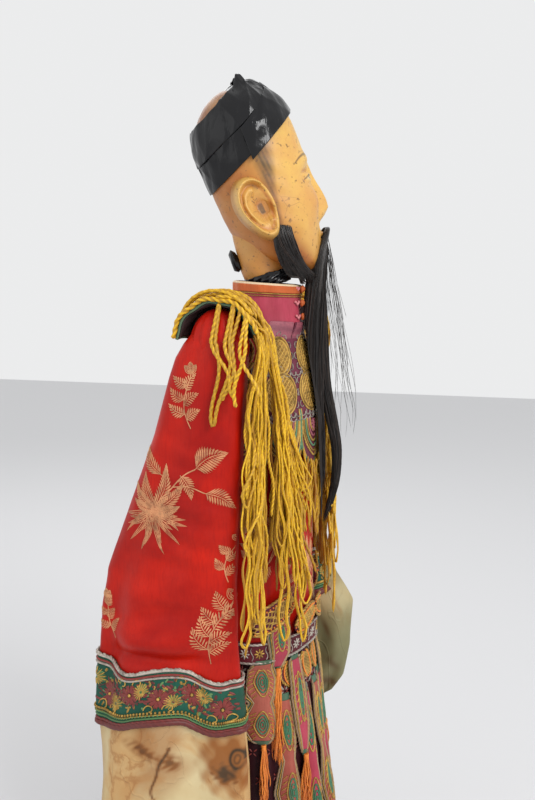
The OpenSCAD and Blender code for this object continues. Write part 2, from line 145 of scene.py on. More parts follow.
class Shade:
    """A node material, built from a few short calls."""

    def __init__(self, name, color, rough=0.6, **sockets):
        self.mat = bpy.data.materials.new(name)
        self.mat.use_nodes = True
        self.tree = self.mat.node_tree
        self.shader = self.tree.nodes["Principled BSDF"]
        self.shader.inputs["Base Color"].default_value = (*color, 1)
        self.shader.inputs["Roughness"].default_value = rough
        for key, value in sockets.items():
            self.shader.inputs[key.replace("_", " ")].default_value = value
        self.coords = self.tree.nodes.new("ShaderNodeTexCoord").outputs["Object"]
        self.height = None

    def node(self, kind, **values):
        made = self.tree.nodes.new("ShaderNode" + kind)
        for key, value in values.items():
            setattr(made, key, value)
        return made

    def link(self, a, b):
        self.tree.links.new(a, b)

    def feed(self, socket, value):
        """Sets a socket from a number or a colour, or links it."""
        if isinstance(value, (int, float)):
            socket.default_value = value
        elif isinstance(value, tuple):
            socket.default_value = (*value, 1)
        else:
            self.link(value, socket)

    def texture(self, made, stretch, **sockets):
        """A texture node laid on the object's own coordinates, stretched along its axes."""
        mapping = self.node("Mapping")
        mapping.inputs["Scale"].default_value = stretch
        self.link(self.coords, mapping.inputs["Vector"])
        for key, value in sockets.items():
            made.inputs[key].default_value = value
        self.link(mapping.outputs["Vector"], made.inputs["Vector"])
        return made.outputs["Fac"]

    def noise(self, scale, detail=3, rough=0.55, stretch=(1, 1, 1), distortion=0.0):
        return self.texture(self.node("TexNoise"), stretch, Scale=scale, Detail=detail, Roughness=rough,
                            Distortion=distortion)

    def wave(self, scale, direction="Z", distortion=0.0, stretch=(1, 1, 1)):
        return self.texture(self.node("TexWave", bands_direction=direction), stretch, Scale=scale,
                            Distortion=distortion)

    def voronoi(self, scale, feature="F1"):
        made = self.node("TexVoronoi", feature=feature)
        made.inputs["Scale"].default_value = scale
        self.link(self.coords, made.inputs["Vector"])
        return made.outputs["Distance"]

    def attribute(self, name="tone"):
        return self.node("Attribute", attribute_name=name).outputs["Fac"]

    def attribute_color(self, name="paint"):
        return self.node("Attribute", attribute_name=name).outputs["Color"]

    def math(self, operation, a, b=0.5):
        made = self.node("Math", operation=operation)
        for socket, value in zip(made.inputs, (a, b)):
            self.feed(socket, value)
        return made.outputs[0]

    def ramp(self, fac, *stops):
        """A value or a colour from fac, by (place, value or colour) stops."""
        made = self.node("ValToRGB")
        ramp = made.color_ramp
        while len(ramp.elements) < len(stops):
            ramp.elements.new(0.5)
        for element, (place, value) in zip(ramp.elements, stops):
            element.position = place
            element.color = (value,) * 3 + (1,) if isinstance(value, (int, float)) else (*value, 1)
        self.link(fac, made.inputs["Fac"])
        return made.outputs["Color"]

    def mix(self, a, b, fac, blend="MIX"):
        made = self.node("Mix", data_type="RGBA", blend_type=blend)
        sockets = [s for s in made.inputs if s.type == "RGBA"]
        for socket, value in zip(sockets, (a, b)):
            self.feed(socket, value)
        self.feed(made.inputs[0], fac)
        return [s for s in made.outputs if s.type == "RGBA"][0]

    def paint(self, color):
        self.link(color, self.shader.inputs["Base Color"])
        return self

    def rough(self, value):
        self.link(value, self.shader.inputs["Roughness"])
        return self

    def bump(self, height, strength=0.3, distance=0.2):
        """Distance is in millimetres."""
        made = self.node("Bump")
        made.inputs["Strength"].default_value = strength
        made.inputs["Distance"].default_value = distance * MM
        self.link(height, made.inputs["Height"])
        previous = self.height
        if previous is not None:
            self.link(previous, made.inputs["Normal"])
        self.height = made.outputs["Normal"]
        self.link(self.height, self.shader.inputs["Normal"])
        return self


def satin(name, light, dark, grime=(0.2, 0.12, 0.06), grime_share=0.25, rough=0.36):
    """Worn silk satin: fine floats along the cloth, soft grime and creases."""
    s = Shade(name, light, rough, Specular_IOR_Level=0.16)
    cloudy = s.noise(28, 4)
    fine = s.noise(900, 2, stretch=(1, 1, 0.12))
    base = s.mix(light, dark, s.ramp(cloudy, (0.35, 0.0), (0.75, 1.0)))
    base = s.mix(base, dark, s.ramp(fine, (0.45, 0.0), (0.8, 0.45)))
    dirt = s.math("MULTIPLY", s.ramp(s.noise(11, 6, 0.7), (0.5, 0.0), (0.75, 1.0)), grime_share)
    s.paint(s.mix(base, grime, dirt))
    s.rough(s.ramp(cloudy, (0.3, rough - 0.05), (0.8, rough + 0.16)))
    s.bump(s.wave(1500, "Z", 0.6), 0.12, 0.08)
    s.bump(s.wave(1500, "Y", 0.6), 0.08, 0.06)
    s.bump(s.noise(120, 5), 0.25, 0.5)
    return s.mat


def metal_thread(name, light, dark, metallic=0.55, rough=0.42):
    """Couched gilt thread, toned by each strand, tarnished in the lows."""
    s = Shade(name, light, rough, Metallic=metallic)
    tone = s.attribute()
    color = s.mix(dark, light, s.ramp(tone, (0.1, 0.0), (0.9, 1.0)))
    tarnish = s.ramp(s.noise(160, 4, 0.7), (0.45, 0.0), (0.7, 0.75))
    s.paint(s.mix(color, tuple(c * 0.35 for c in dark), tarnish))
    s.rough(s.ramp(s.noise(400, 3), (0.3, rough - 0.1), (0.8, rough + 0.25)))
    s.bump(s.wave(900, "DIAGONAL", 1.5), 0.5, 0.15)
    return s.mat


def silk_thread(name, light, dark, rough=0.5, sheen=0.04):
    """Floss and cord: fine fibres along a strand, each strand with its own tone."""
    s = Shade(name, light, rough, Sheen_Weight=sheen, Sheen_Roughness=0.5)
    tone = s.attribute()
    color = s.mix(dark, light, s.ramp(tone, (0.05, 0.0), (0.95, 1.0)))
    fleck = s.ramp(s.noise(700, 3, 0.6), (0.4, 0.0), (0.75, 0.55))
    s.paint(s.mix(color, dark, fleck))
    s.bump(s.noise(1800, 2, stretch=(1, 1, 0.25)), 0.5, 0.12)
    return s.mat


def wood(name, light, dark, rough=0.5):
    s = Shade(name, light, rough)
    grain = s.wave(60, "X", 5.0, stretch=(1, 1, 0.12))
    pores = s.noise(420, 4, stretch=(1, 1, 0.08))
    base = s.mix(dark, light, s.ramp(grain, (0.2, 0.15), (0.8, 1.0)))
    s.paint(s.mix(base, dark, s.ramp(pores, (0.5, 0.0), (0.72, 0.7))))
    s.rough(s.ramp(pores, (0.3, rough), (0.8, rough + 0.2)))
    s.bump(pores, 0.3, 0.15)
    return s.mat


def metal(name, color, rough=0.32):
    s = Shade(name, color, rough, Metallic=0.95)
    scratch = s.noise(300, 3, stretch=(1, 0.1, 1))
    s.paint(s.mix(color, tuple(c * 0.55 for c in color), s.ramp(scratch, (0.5, 0.0), (0.8, 0.7))))
    s.rough(s.ramp(scratch, (0.3, rough), (0.8, rough + 0.25)))
    return s.mat


MAT = {
    "red": satin("red_satin", (0.53, 0.013, 0.004), (0.29, 0.004, 0.003), (0.12, 0.01, 0.008), 0.3),
    "pink": satin("pink_silk", (0.50, 0.07, 0.11), (0.30, 0.03, 0.055), (0.30, 0.10, 0.08), 0.4, 0.5),
    "salmon": satin("salmon_silk", (0.44, 0.12, 0.085), (0.27, 0.055, 0.04), (0.35, 0.16, 0.10), 0.4, 0.5),
    "maroon": satin("maroon_silk", (0.16, 0.020, 0.028), (0.07, 0.010, 0.016), (0.03, 0.01, 0.01), 0.4, 0.5),
    "plum": satin("plum_silk", (0.17, 0.035, 0.06), (0.09, 0.02, 0.035), (0.05, 0.02, 0.02), 0.4, 0.5),
    "green": satin("green_silk", (0.017, 0.105, 0.068), (0.008, 0.055, 0.036), (0.05, 0.05, 0.03), 0.4, 0.5),
    "sage": satin("sage_silk", (0.10, 0.19, 0.12), (0.045, 0.10, 0.065), (0.20, 0.14, 0.07), 0.5, 0.55),
    "orange_band": satin("orange_silk", (0.58, 0.14, 0.04), (0.38, 0.07, 0.02), (0.3, 0.12, 0.05), 0.4, 0.5),
    "cream": satin("cream_piping", (0.78, 0.62, 0.42), (0.62, 0.44, 0.26), (0.35, 0.2, 0.1), 0.5, 0.55),
    # dark satin for the epaulette lining and for the web of painted shade under its arch
    "lining_and_shade": satin("dark_lining_and_shade_satin", (0.05, 0.03, 0.03), (0.02, 0.015, 0.015), (0.01, 0.01, 0.01), 0.3, 0.6),
    "gold": metal_thread("gold_thread", (0.62, 0.38, 0.085), (0.20, 0.10, 0.022)),
    "pale_gold": metal_thread("pale_gold_thread", (0.74, 0.36, 0.17), (0.55, 0.17, 0.07), 0.1, 0.5),
    "silver": metal_thread("silver_thread", (0.56, 0.50, 0.43), (0.24, 0.19, 0.16), 0.5),
    "yellow": silk_thread("yellow_cord", (0.88, 0.53, 0.010), (0.25, 0.09, 0.002)),
    "orange": silk_thread("orange_thread", (0.85, 0.27, 0.03), (0.48, 0.10, 0.012)),
    "green_thread": silk_thread("green_thread", (0.055, 0.20, 0.10), (0.015, 0.075, 0.04)),
    "pink_thread": silk_thread("pink_thread", (0.80, 0.30, 0.32), (0.50, 0.12, 0.14)),
    "maroon_thread": silk_thread("maroon_thread", (0.25, 0.030, 0.022), (0.09, 0.011, 0.009)),
    "wood": wood("turned_wood", (0.50, 0.33, 0.18), (0.28, 0.16, 0.08)),
    "bare_wood": wood("bare_wood", (0.36, 0.15, 0.075), (0.20, 0.075, 0.04), 0.6),
    "steel": metal("steel_pin", (0.55, 0.54, 0.52)),
    "brass": metal("brass", (0.62, 0.42, 0.16)),
    "iron": metal("dark_iron", (0.07, 0.06, 0.055), 0.5),
}


def leather_material():
    s = Shade("leather_washer", (0.16, 0.08, 0.04), 0.65)
    s.paint(s.mix((0.19, 0.09, 0.045), (0.08, 0.04, 0.02), s.noise(150, 4)))
    s.bump(s.voronoi(900), 0.4, 0.1)
    return s.mat


def skin_material():
    """Old lacquer paint: the hue and the painted shade come with the mesh, the specks, rubs and cracks from here."""
    s = Shade("painted_skin", (0.80, 0.47, 0.15), 0.42, Coat_Weight=0.15, Coat_Roughness=0.35)
    hue = s.mix(s.attribute_color(), (0.88, 0.93, 0.68), 1.0, "MULTIPLY")
    cloudy = s.mix(hue, (0.55, 0.22, 0.07), s.ramp(s.noise(38, 5, 0.7), (0.44, 0.0), (0.78, 0.7)))
    light = s.mix(cloudy, (0.80, 0.58, 0.22), s.ramp(s.noise(24, 3), (0.5, 0.0), (0.85, 0.35)))
    speck = s.ramp(s.noise(420, 4, 0.6), (0.60, 0.0), (0.68, 0.8))
    dirty = s.mix(light, (0.16, 0.075, 0.03), speck)
    pits = s.ramp(s.voronoi(210), (0.03, 0.8), (0.09, 0.0))
    gate = s.ramp(s.noise(60, 2), (0.5, 0.0), (0.6, 1.0))
    dirty = s.mix(dirty, (0.10, 0.05, 0.025), s.math("MULTIPLY", pits, gate))
    crack = s.ramp(s.voronoi(70, "DISTANCE_TO_EDGE"), (0.0, 0.55), (0.012, 0.0))
    crack = s.math("MULTIPLY", crack, s.ramp(s.noise(17, 2), (0.52, 0.0), (0.62, 1.0)))
    s.paint(s.mix(dirty, (0.22, 0.10, 0.04), crack))
    s.rough(s.ramp(s.noise(90, 4), (0.3, 0.34), (0.8, 0.62)))
    s.bump(s.noise(260, 5, 0.6), 0.18, 0.3)
    s.bump(pits, -0.4, 0.2)
    return s.mat


def tape_material():
    """Glossy black adhesive tape, pulled tight, with fine stretch lines and dusty scuffs."""
    s = Shade("black_tape", (0.004, 0.004, 0.005), 0.14, Specular_IOR_Level=0.36)
    dust = s.ramp(s.noise(60, 6, 0.7), (0.58, 0.0), (0.85, 0.25))
    s.paint(s.mix((0.004, 0.004, 0.005), (0.024, 0.026, 0.028), dust))
    s.rough(s.ramp(s.noise(45, 5, 0.65), (0.3, 0.07), (0.75, 0.34)))
    s.bump(s.noise(70, 4, 0.6, stretch=(1, 1, 0.4)), 0.6, 1.6)
    s.bump(s.noise(600, 3, stretch=(1, 1, 0.3)), 0.15, 0.15)
    return s.mat


def hair_material():
    s = Shade("black_hair", (0.012, 0.010, 0.010), 0.34, Sheen_Weight=0.1)
    s.paint(s.mix((0.007, 0.006, 0.006), (0.035, 0.022, 0.016), s.attribute()))
    s.bump(s.noise(2600, 2, stretch=(1, 1, 0.1)), 0.3, 0.05)
    return s.mat


def water_silk_material():
    """Cream silk with brown tide marks and fine pressed creases; a scorch, stains and painted shade come with each
    sleeve's mesh.
    """
    s = Shade("water_silk", (0.80, 0.68, 0.44), 0.55, Specular_IOR_Level=0.3)
    base = s.mix((0.64, 0.52, 0.29), (0.50, 0.34, 0.15), s.ramp(s.noise(22, 4), (0.35, 0), (0.75, 1)))
    blot = s.noise(26, 5, 0.55, distortion=0.8)
    wash = s.ramp(blot, (0.47, 0.0), (0.60, 0.85), (0.72, 0.6))
    base = s.mix(base, (0.52, 0.28, 0.10), wash)
    edge = s.ramp(blot, (0.57, 0.0), (0.60, 0.5), (0.63, 0.0))
    base = s.mix(base, (0.30, 0.13, 0.045), edge)
    s.paint(s.mix(base, s.attribute_color("stain_and_shade"), s.attribute("stain_and_shade_share")))
    crease = s.ramp(s.noise(34, 2, 0.4, stretch=(1, 1, 0.5), distortion=1.2),
                    (0.485, 0.0), (0.5, 1.0), (0.515, 0.0))
    s.bump(crease, 0.5, 0.5)
    s.bump(s.wave(1300, "Z", 0.5), 0.12, 0.08)
    s.bump(s.noise(240, 4), 0.2, 0.3)
    s.rough(s.ramp(blot, (0.4, 0.5), (0.7, 0.72)))
    return s.mat


MAT["leather"] = leather_material()
MAT["skin"] = skin_material()
MAT["tape"] = tape_material()
MAT["hair"] = hair_material()
MAT["water"] = water_silk_material()

# ---------------------------------------------------------------- mesh helpers (millimetres)


SIDE_NAME = {-1: "right", 1: "left"}


def columns(*values):
    """Points of a line from their coordinates, any of which may be a single number."""
    return np.stack(np.broadcast_arrays(*values), 1)


def unit(v):
    return v / np.maximum(np.linalg.norm(v, axis=-1, keepdims=True), 1e-9)


class Soup:
    """Gathers many small surfaces of quads into one mesh. A tone goes with every point."""

    def __init__(self):
        self.points, self.quads, self.tones, self.count = [], [], [], 0

    def add(self, points, quads, tone=0.5):
        points = np.asarray(points, float).reshape(-1, 3)
        self.points.append(points)
        self.quads.append(np.asarray(quads).reshape(-1, 4) + self.count)
        self.tones.append(np.broadcast_to(np.asarray(tone, float).reshape(-1), (len(points),))
                          if np.size(tone) in (1, len(points)) else np.repeat(tone, len(points) // len(tone)))
        self.count += len(points)
        return self

    def build(self, name, material, colors=None):
        points = np.concatenate(self.points) * MM
        quads = np.concatenate(self.quads)
        mesh = bpy.data.meshes.new(name)
        mesh.vertices.add(len(points))
        mesh.vertices.foreach_set("co", points.ravel().astype(np.float32))
        mesh.loops.add(len(quads) * 4)
        mesh.loops.foreach_set("vertex_index", quads.ravel().astype(np.int32))
        mesh.polygons.add(len(quads))
        mesh.polygons.foreach_set("loop_start", np.arange(0, len(quads) * 4, 4, dtype=np.int32))
        mesh.polygons.foreach_set("use_smooth", np.full(len(quads), True))
        mesh.update(calc_edges=True)
        mesh.validate()
        tone = mesh.attributes.new("tone", "FLOAT", "POINT")
        tone.data.foreach_set("value", np.concatenate(self.tones).astype(np.float32))
        for key, values in (colors or {}).items():
            kind, field = ("FLOAT", "value") if values.ndim == 1 else ("FLOAT_COLOR", "color")
            if field == "color":
                values = np.concatenate([values, np.ones((len(values), 1))], 1)
            mesh.attributes.new(key, kind, "POINT").data.foreach_set(field, values.ravel().astype(np.float32))
        mesh.materials.append(material)
        made = bpy.data.objects.new(name, mesh)
        bpy.context.scene.collection.objects.link(made)
        return made


def soups(count):
    return [Soup() for _ in range(count)]


def grid_quads(rows, across, wrap=False, offset=0):
    """Quads of a grid of points stored row by row; wrap joins the last column to the first."""
    i, j = np.meshgrid(np.arange(rows - 1), np.arange(across if wrap else across - 1), indexing="ij")
    k = (j + 1) % across
    a, b, c, d = i * across + j, i * across + k, (i + 1) * across + k, (i + 1) * across + j
    return np.stack([a, b, c, d], -1).reshape(-1, 4) + offset


def path_frames(paths):
    """Tangent and two normals along each path of an array (paths, points, 3)."""
    tangent = unit(np.gradient(paths, axis=1))
    start = np.where(np.abs(tangent[:, :1, 2:3]) < 0.8, [[[0.0, 0.0, 1.0]]], [[[1.0, 0.0, 0.0]]])
    side = start[:, 0] - (start[:, 0] * tangent[:, 0]).sum(-1, keepdims=True) * tangent[:, 0]
    sides = []
    for i in range(paths.shape[1]):
        t = tangent[:, i]
        side = unit(side - (side * t).sum(-1, keepdims=True) * t)
        sides.append(side)
    side = np.stack(sides, 1)
    return tangent, side, np.cross(tangent, side)


def tubes(soup, paths, radius, sides=5, tone=None, lobes=0, twist=0.0, depth=0.25):
    """Sweeps round tubes along many paths. With lobes, the section turns like plied cord, with painted shade in the
    grooves.
    """
    paths = np.asarray(paths, float)
    if paths.ndim == 2:
        paths = paths[None]
    count, steps, _ = paths.shape
    radius = np.broadcast_to(np.asarray(radius, float), (count, steps)).copy()
    radius[:, 0] *= 0.15
    radius[:, -1] *= 0.15
    _, side, up = path_frames(paths)
    angle = np.arange(sides) * TAU / sides
    run = np.concatenate([np.zeros((count, 1)),
                          np.cumsum(np.linalg.norm(np.diff(paths, axis=1), axis=-1), 1)], 1)
    shape = np.ones((count, steps, sides))
    if lobes:
        shape = 1 - depth * (0.5 + 0.5 * np.cos(lobes * (angle - twist * run[..., None])))
    r = radius[..., None] * shape
    points = (paths[:, :, None] + r[..., None] * (np.cos(angle)[:, None] * side[:, :, None]
                                                   + np.sin(angle)[:, None] * up[:, :, None]))
    quads = grid_quads(steps, sides, True)
    quads = (quads[None] + (np.arange(count) * steps * sides)[:, None, None]).reshape(-1, 4)
    if tone is None:
        tone = rng.uniform(0.15, 0.95, count)
    tone = np.repeat(np.broadcast_to(tone, (count,)), steps * sides)
    # painted shade: with lobes the tone is darkened into the grooves between the plies
    if lobes:
        tone = np.clip(tone * (0.35 + 0.75 * ((shape - 1 + depth) / depth).ravel()), 0, 1)
    soup.add(points, quads, tone)
    return soup


class Cloth:
    """A smooth surface: where(u, v) gives points for arrays u and v, in millimetres."""

    def __init__(self, where, flip=False):
        self.where = where
        self.flip = -1 if flip else 1

    def at(self, u, v, lift=0.0):
        u, v = np.broadcast_arrays(np.asarray(u, float), np.asarray(v, float))
        p = self.where(u, v)
        return p + self.normal(u, v) * np.asarray(lift, float)[..., None]

    def normal(self, u, v):
        e = 0.15
        du = self.where(u + e, v) - self.where(u - e, v)
        dv = self.where(u, v + e) - self.where(u, v - e)
        return unit(np.cross(du, dv)) * self.flip


def shell(name, cloth, us, vs, thickness, material, wrap=False, lift=0.0, colors=None):
    """A cloth panel with an outer and an inner side and closed edges."""
    u, v = np.meshgrid(us, vs, indexing="xy")
    outer = cloth.at(u, v, lift)
    inner = cloth.at(u, v, lift - thickness)
    rows, across = u.shape
    n = rows * across
    quads = [grid_quads(rows, across, wrap), grid_quads(rows, across, wrap, n)[:, ::-1]]

    def rim(a):
        a = np.asarray(a)
        return np.stack([a[:-1], a[:-1] + n, a[1:] + n, a[1:]], -1)

    first = np.arange(across)
    last = first + (rows - 1) * across
    if wrap:
        first, last = np.append(first, first[0]), np.append(last, last[0])
    quads += [rim(first), rim(last[::-1])]
    if not wrap:
        left = np.arange(rows) * across
        quads += [rim(left[::-1]), rim(left + across - 1)]
    quads = np.concatenate(quads)
    if cloth.flip < 0:
        quads = quads[:, ::-1]
    soup = Soup().add(np.concatenate([outer.reshape(-1, 3), inner.reshape(-1, 3)]), quads)
    if colors:
        colors = {k: np.concatenate([c.reshape(n, -1)] * 2).squeeze() for k, c in colors.items()}
    return soup.build(name, material, colors=colors)


def resample(line, count):
    """count points spread evenly along a polyline of (u, v)."""
    line = np.asarray(line, float)
    run = np.append(0, np.cumsum(np.linalg.norm(np.diff(line, axis=0), axis=1)))
    s = np.linspace(0, run[-1], count)
    return np.stack([np.interp(s, run, line[:, i]) for i in range(line.shape[1])], 1)


def smooth_line(points, count=40):
    """A soft curve through given points, by Catmull-Rom."""
    p = np.asarray(points, float)
    p = np.concatenate([2 * p[:1] - p[1:2], p, 2 * p[-1:] - p[-2:-1]])
    parts = []
    for i in range(len(p) - 3):
        t = np.linspace(0, 1, 12, endpoint=False)[:, None]
        a, b, c, d = p[i:i + 4]
        parts.append(0.5 * (2 * b + (c - a) * t + (2 * a - 5 * b + 4 * c - d) * t ** 2
                            + (3 * b - a - 3 * c + d) * t ** 3))
    parts.append(p[-2:-1])
    return resample(np.concatenate(parts), count)


RIBBON = np.array([[-1.0, 0.0], [-0.62, 0.8], [0.0, 1.0], [0.62, 0.8], [1.0, 0.0]])
THREAD = np.array([[-1.0, 0.0], [0.0, 1.0], [1.0, 0.0]])


def stitch(soup, cloth, lines, width, height, lift=0.05, tone=None, section=RIBBON, taper=False):
    """Raised threads on a cloth. lines is (threads, points, 2) in the cloth's own u and v."""
    lines = np.asarray(lines, float)
    if lines.ndim == 2:
        lines = lines[None]
    count, steps, _ = lines.shape
    base = cloth.at(lines[..., 0], lines[..., 1], lift)
    normal = cloth.normal(lines[..., 0], lines[..., 1])
    tangent = unit(np.gradient(base, axis=1))
    side = unit(np.cross(normal, tangent))
    w = np.broadcast_to(np.asarray(width, float), (count, steps)) / 2
    if taper:
        w = w * np.clip(np.sin(np.linspace(0.02, math.pi - 0.02, steps)) * 1.7, 0.1, 1)
    h = np.broadcast_to(np.asarray(height, float), (count, steps))
    points = (base[:, :, None] + side[:, :, None] * (w[..., None] * section[:, 0])[..., None]
              + normal[:, :, None] * (h[..., None] * section[:, 1] * np.minimum(1, w[..., None] * 6))[..., None])
    m = len(section)
    quads = grid_quads(steps, m)[:, ::-1]
    quads = (quads[None] + (np.arange(count) * steps * m)[:, None, None]).reshape(-1, 4)
    if tone is None:
        tone = rng.uniform(0.25, 0.95, count)
    tone = np.repeat(np.broadcast_to(tone, (count,)), steps * m)
    soup.add(points, quads, tone)
    return soup


def table(rows):
    """Interpolates the columns of a table of (height, ...) rows, softly."""
    rows = np.asarray(rows, float)
    rows = rows[np.argsort(rows[:, 0])]

    def column(h, c):
        return np.interp(h, rows[:, 0], rows[:, c])
    return column


def wavy(u, v, waves):
    """Sum of slow waves, each (amplitude, u rate, v rate, phase) in radians per millimetre."""
    return sum(a * np.sin(ku * u + kv * v + ph) for a, ku, kv, ph in waves)


def bell(x, middle, width):
    return np.exp(-((x - middle) / width) ** 2)


def finish_piece(obj, body, slot_name, *nodes):
    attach(obj, body)
    if nodes:
        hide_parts(*nodes)
    return obj


def put(soup, name, material, body, slot_name, *nodes):
    """Builds what a soup has gathered and finishes it as one piece."""
    return finish_piece(soup.build(name, MAT[material]), body, slot_name, *nodes)


def cord(soup, path, radius, tone, twist=1.1, depth=0.3, sides=8):
    """Two-ply twisted cord along a path."""
    return tubes(soup, path, radius, sides, tone=[tone], lobes=2, twist=twist, depth=depth)


def over_elbow(obj, side, *nodes):
    """Bakes the cloth's transform into its mesh and hides the CAD nodes it replaces."""
    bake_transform(obj)
    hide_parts(*nodes)
    return obj


# ---------------------------------------------------------------- sleeves

ARM_X = 66
SHOULDER = np.array([0.0, 4.0, 396.0])


def sleeve_tube(outline, side, waves, square=0.72):
    """A flattened sleeve. u is degrees round it: 0 front, 90 outer face, 180 back. v is the height."""
    col = table(outline)

    def where(u, v):
        a = np.radians(u)
        front, back, half = col(v, 1), col(v, 2), col(v, 3)
        c, s = np.cos(a), np.sin(a)
        reach = (back - front) / 2
        y = (front + back) / 2 - reach * c
        x = half * np.sign(s) * np.abs(s) ** square
        fold = waves(u, v)
        grow = 1 + fold / np.maximum(half, 4)
        return np.stack([side * (ARM_X + x * grow), y - c * np.minimum(fold, 2) * 0.5, v], -1)
    return where, col


def on_face(cloth_where, col, inner=False):
    """The same surface by (y, z) in millimetres on its outer or inner face, for laying motifs."""
    def where(y, z):
        front, back = col(z, 1), col(z, 2)
        c = np.clip(((front + back) / 2 - y) / np.maximum((back - front) / 2, 1), -0.995, 0.995)
        around = np.degrees(np.arccos(c))
        return cloth_where(360 - around if inner else around, z)
    return where


# right sleeve: [height, front y, back y, half width]
SLEEVE_R = [[97, -8, 88, 13], [150, -8, 86, 12.5], [178, -6, 87, 12.5], [215, -4, 84, 12.5],
            [240, -3.5, 81, 13], [262, -3.5, 77, 13.5], [290, -4.5, 66, 14], [344, -7, 45, 14.5],
            [377, -9, 35, 14], [388, -10, 31, 13.5], [396, -9.5, 26, 12.5], [402, -7, 21, 10.5],
            [406, -2, 15, 7], [408, 3, 9, 2]]


def right_folds(u, v):
    low = np.clip((330 - v) / 130, 0, 1)
    front = bell((u % 360), 78, 60)
    soft = wavy(u, v, [(1.5, 0.055, 0.012, 0.4), (1.0, 0.094, -0.02, 2.0), (0.7, 0.15, 0.035, 1.1)])
    pleat = 2.6 * np.sin(np.radians(u * 2.9) + 0.4 + v * 0.012) * np.clip((290 - v) / 80, 0, 1)
    crush = 1.5 * np.sin(v * 0.19 + u * 0.035) * bell(v, 240, 24) * (0.4 + front)
    crush = crush + 4.0 * bell(v, 227, 8) * bell(u % 360, 110, 45) - 4.2 * bell(v, 214, 4) * bell(u % 360, 95, 50)
    crush = crush + 0.7 * np.sin(v * 0.45 - u * 0.06 + 1) * bell(v, 300, 40) * front
    return soft * (0.35 + low) + pleat * 0.75 + crush


where_r, col_r = sleeve_tube(SLEEVE_R, -1, right_folds)
sleeve_right = Cloth(where_r, flip=True)
face_right = Cloth(on_face(where_r, col_r), flip=True)


def edge_curve(points):
    """Height of a wavy hem at depth y, through given (y, height) points."""
    line = smooth_line(sorted(points), 60)
    return lambda y: np.interp(y, line[:, 0], line[:, 1])


cuff_top = edge_curve([(-9, 204), (3, 202), (13, 204), (23, 208), (33, 209), (44, 207), (59, 203),
                       (70, 205), (84, 209), (97, 211)])
cuff_low = edge_curve([(-9, 175), (-3, 173), (9, 171), (19, 173), (28, 177), (40, 177), (53, 173),
                       (64, 168), (80, 165), (97, 166)])


def hung_between(cloth, col, top, low):
    """A cloth whose v runs from 0 at the wavy height low(y) to 1 at top(y)."""
    def where(u, v):
        middle = 200.0
        y = (col(middle, 1) + col(middle, 2)) / 2 - (col(middle, 2) - col(middle, 1)) / 2 * np.cos(np.radians(u))
        z = low(y) + (top(y) - low(y)) * v
        return cloth.where(u, z)
    return where


def ring_us(n=120):
    return np.linspace(0, 360, n, endpoint=False)


def make_right_sleeve():
    upper_edge = 407
    body = Cloth(hung_between(sleeve_right, col_r, lambda y: y * 0 + upper_edge, lambda y: cuff_top(y) - 3),
                 flip=True)
    obj = shell("sleeve_right", body, ring_us(200), np.linspace(0, 1, 130), 0.9, MAT["red"], wrap=True)
    over_elbow(obj, "right", "sleeve_upper_right", "sleeve_lower_right")
    return obj


def make_right_cuff():
    band = Cloth(hung_between(sleeve_right, col_r, cuff_top, cuff_low), flip=True)
    obj = shell("cuff_right", band, ring_us(200), np.linspace(-0.02, 1.02, 30), 2.2, MAT["green"],
                wrap=True, lift=1.1)
    finish_piece(obj, "forearm_right", "green_cuff", "cuff_band_right")
    return obj, band


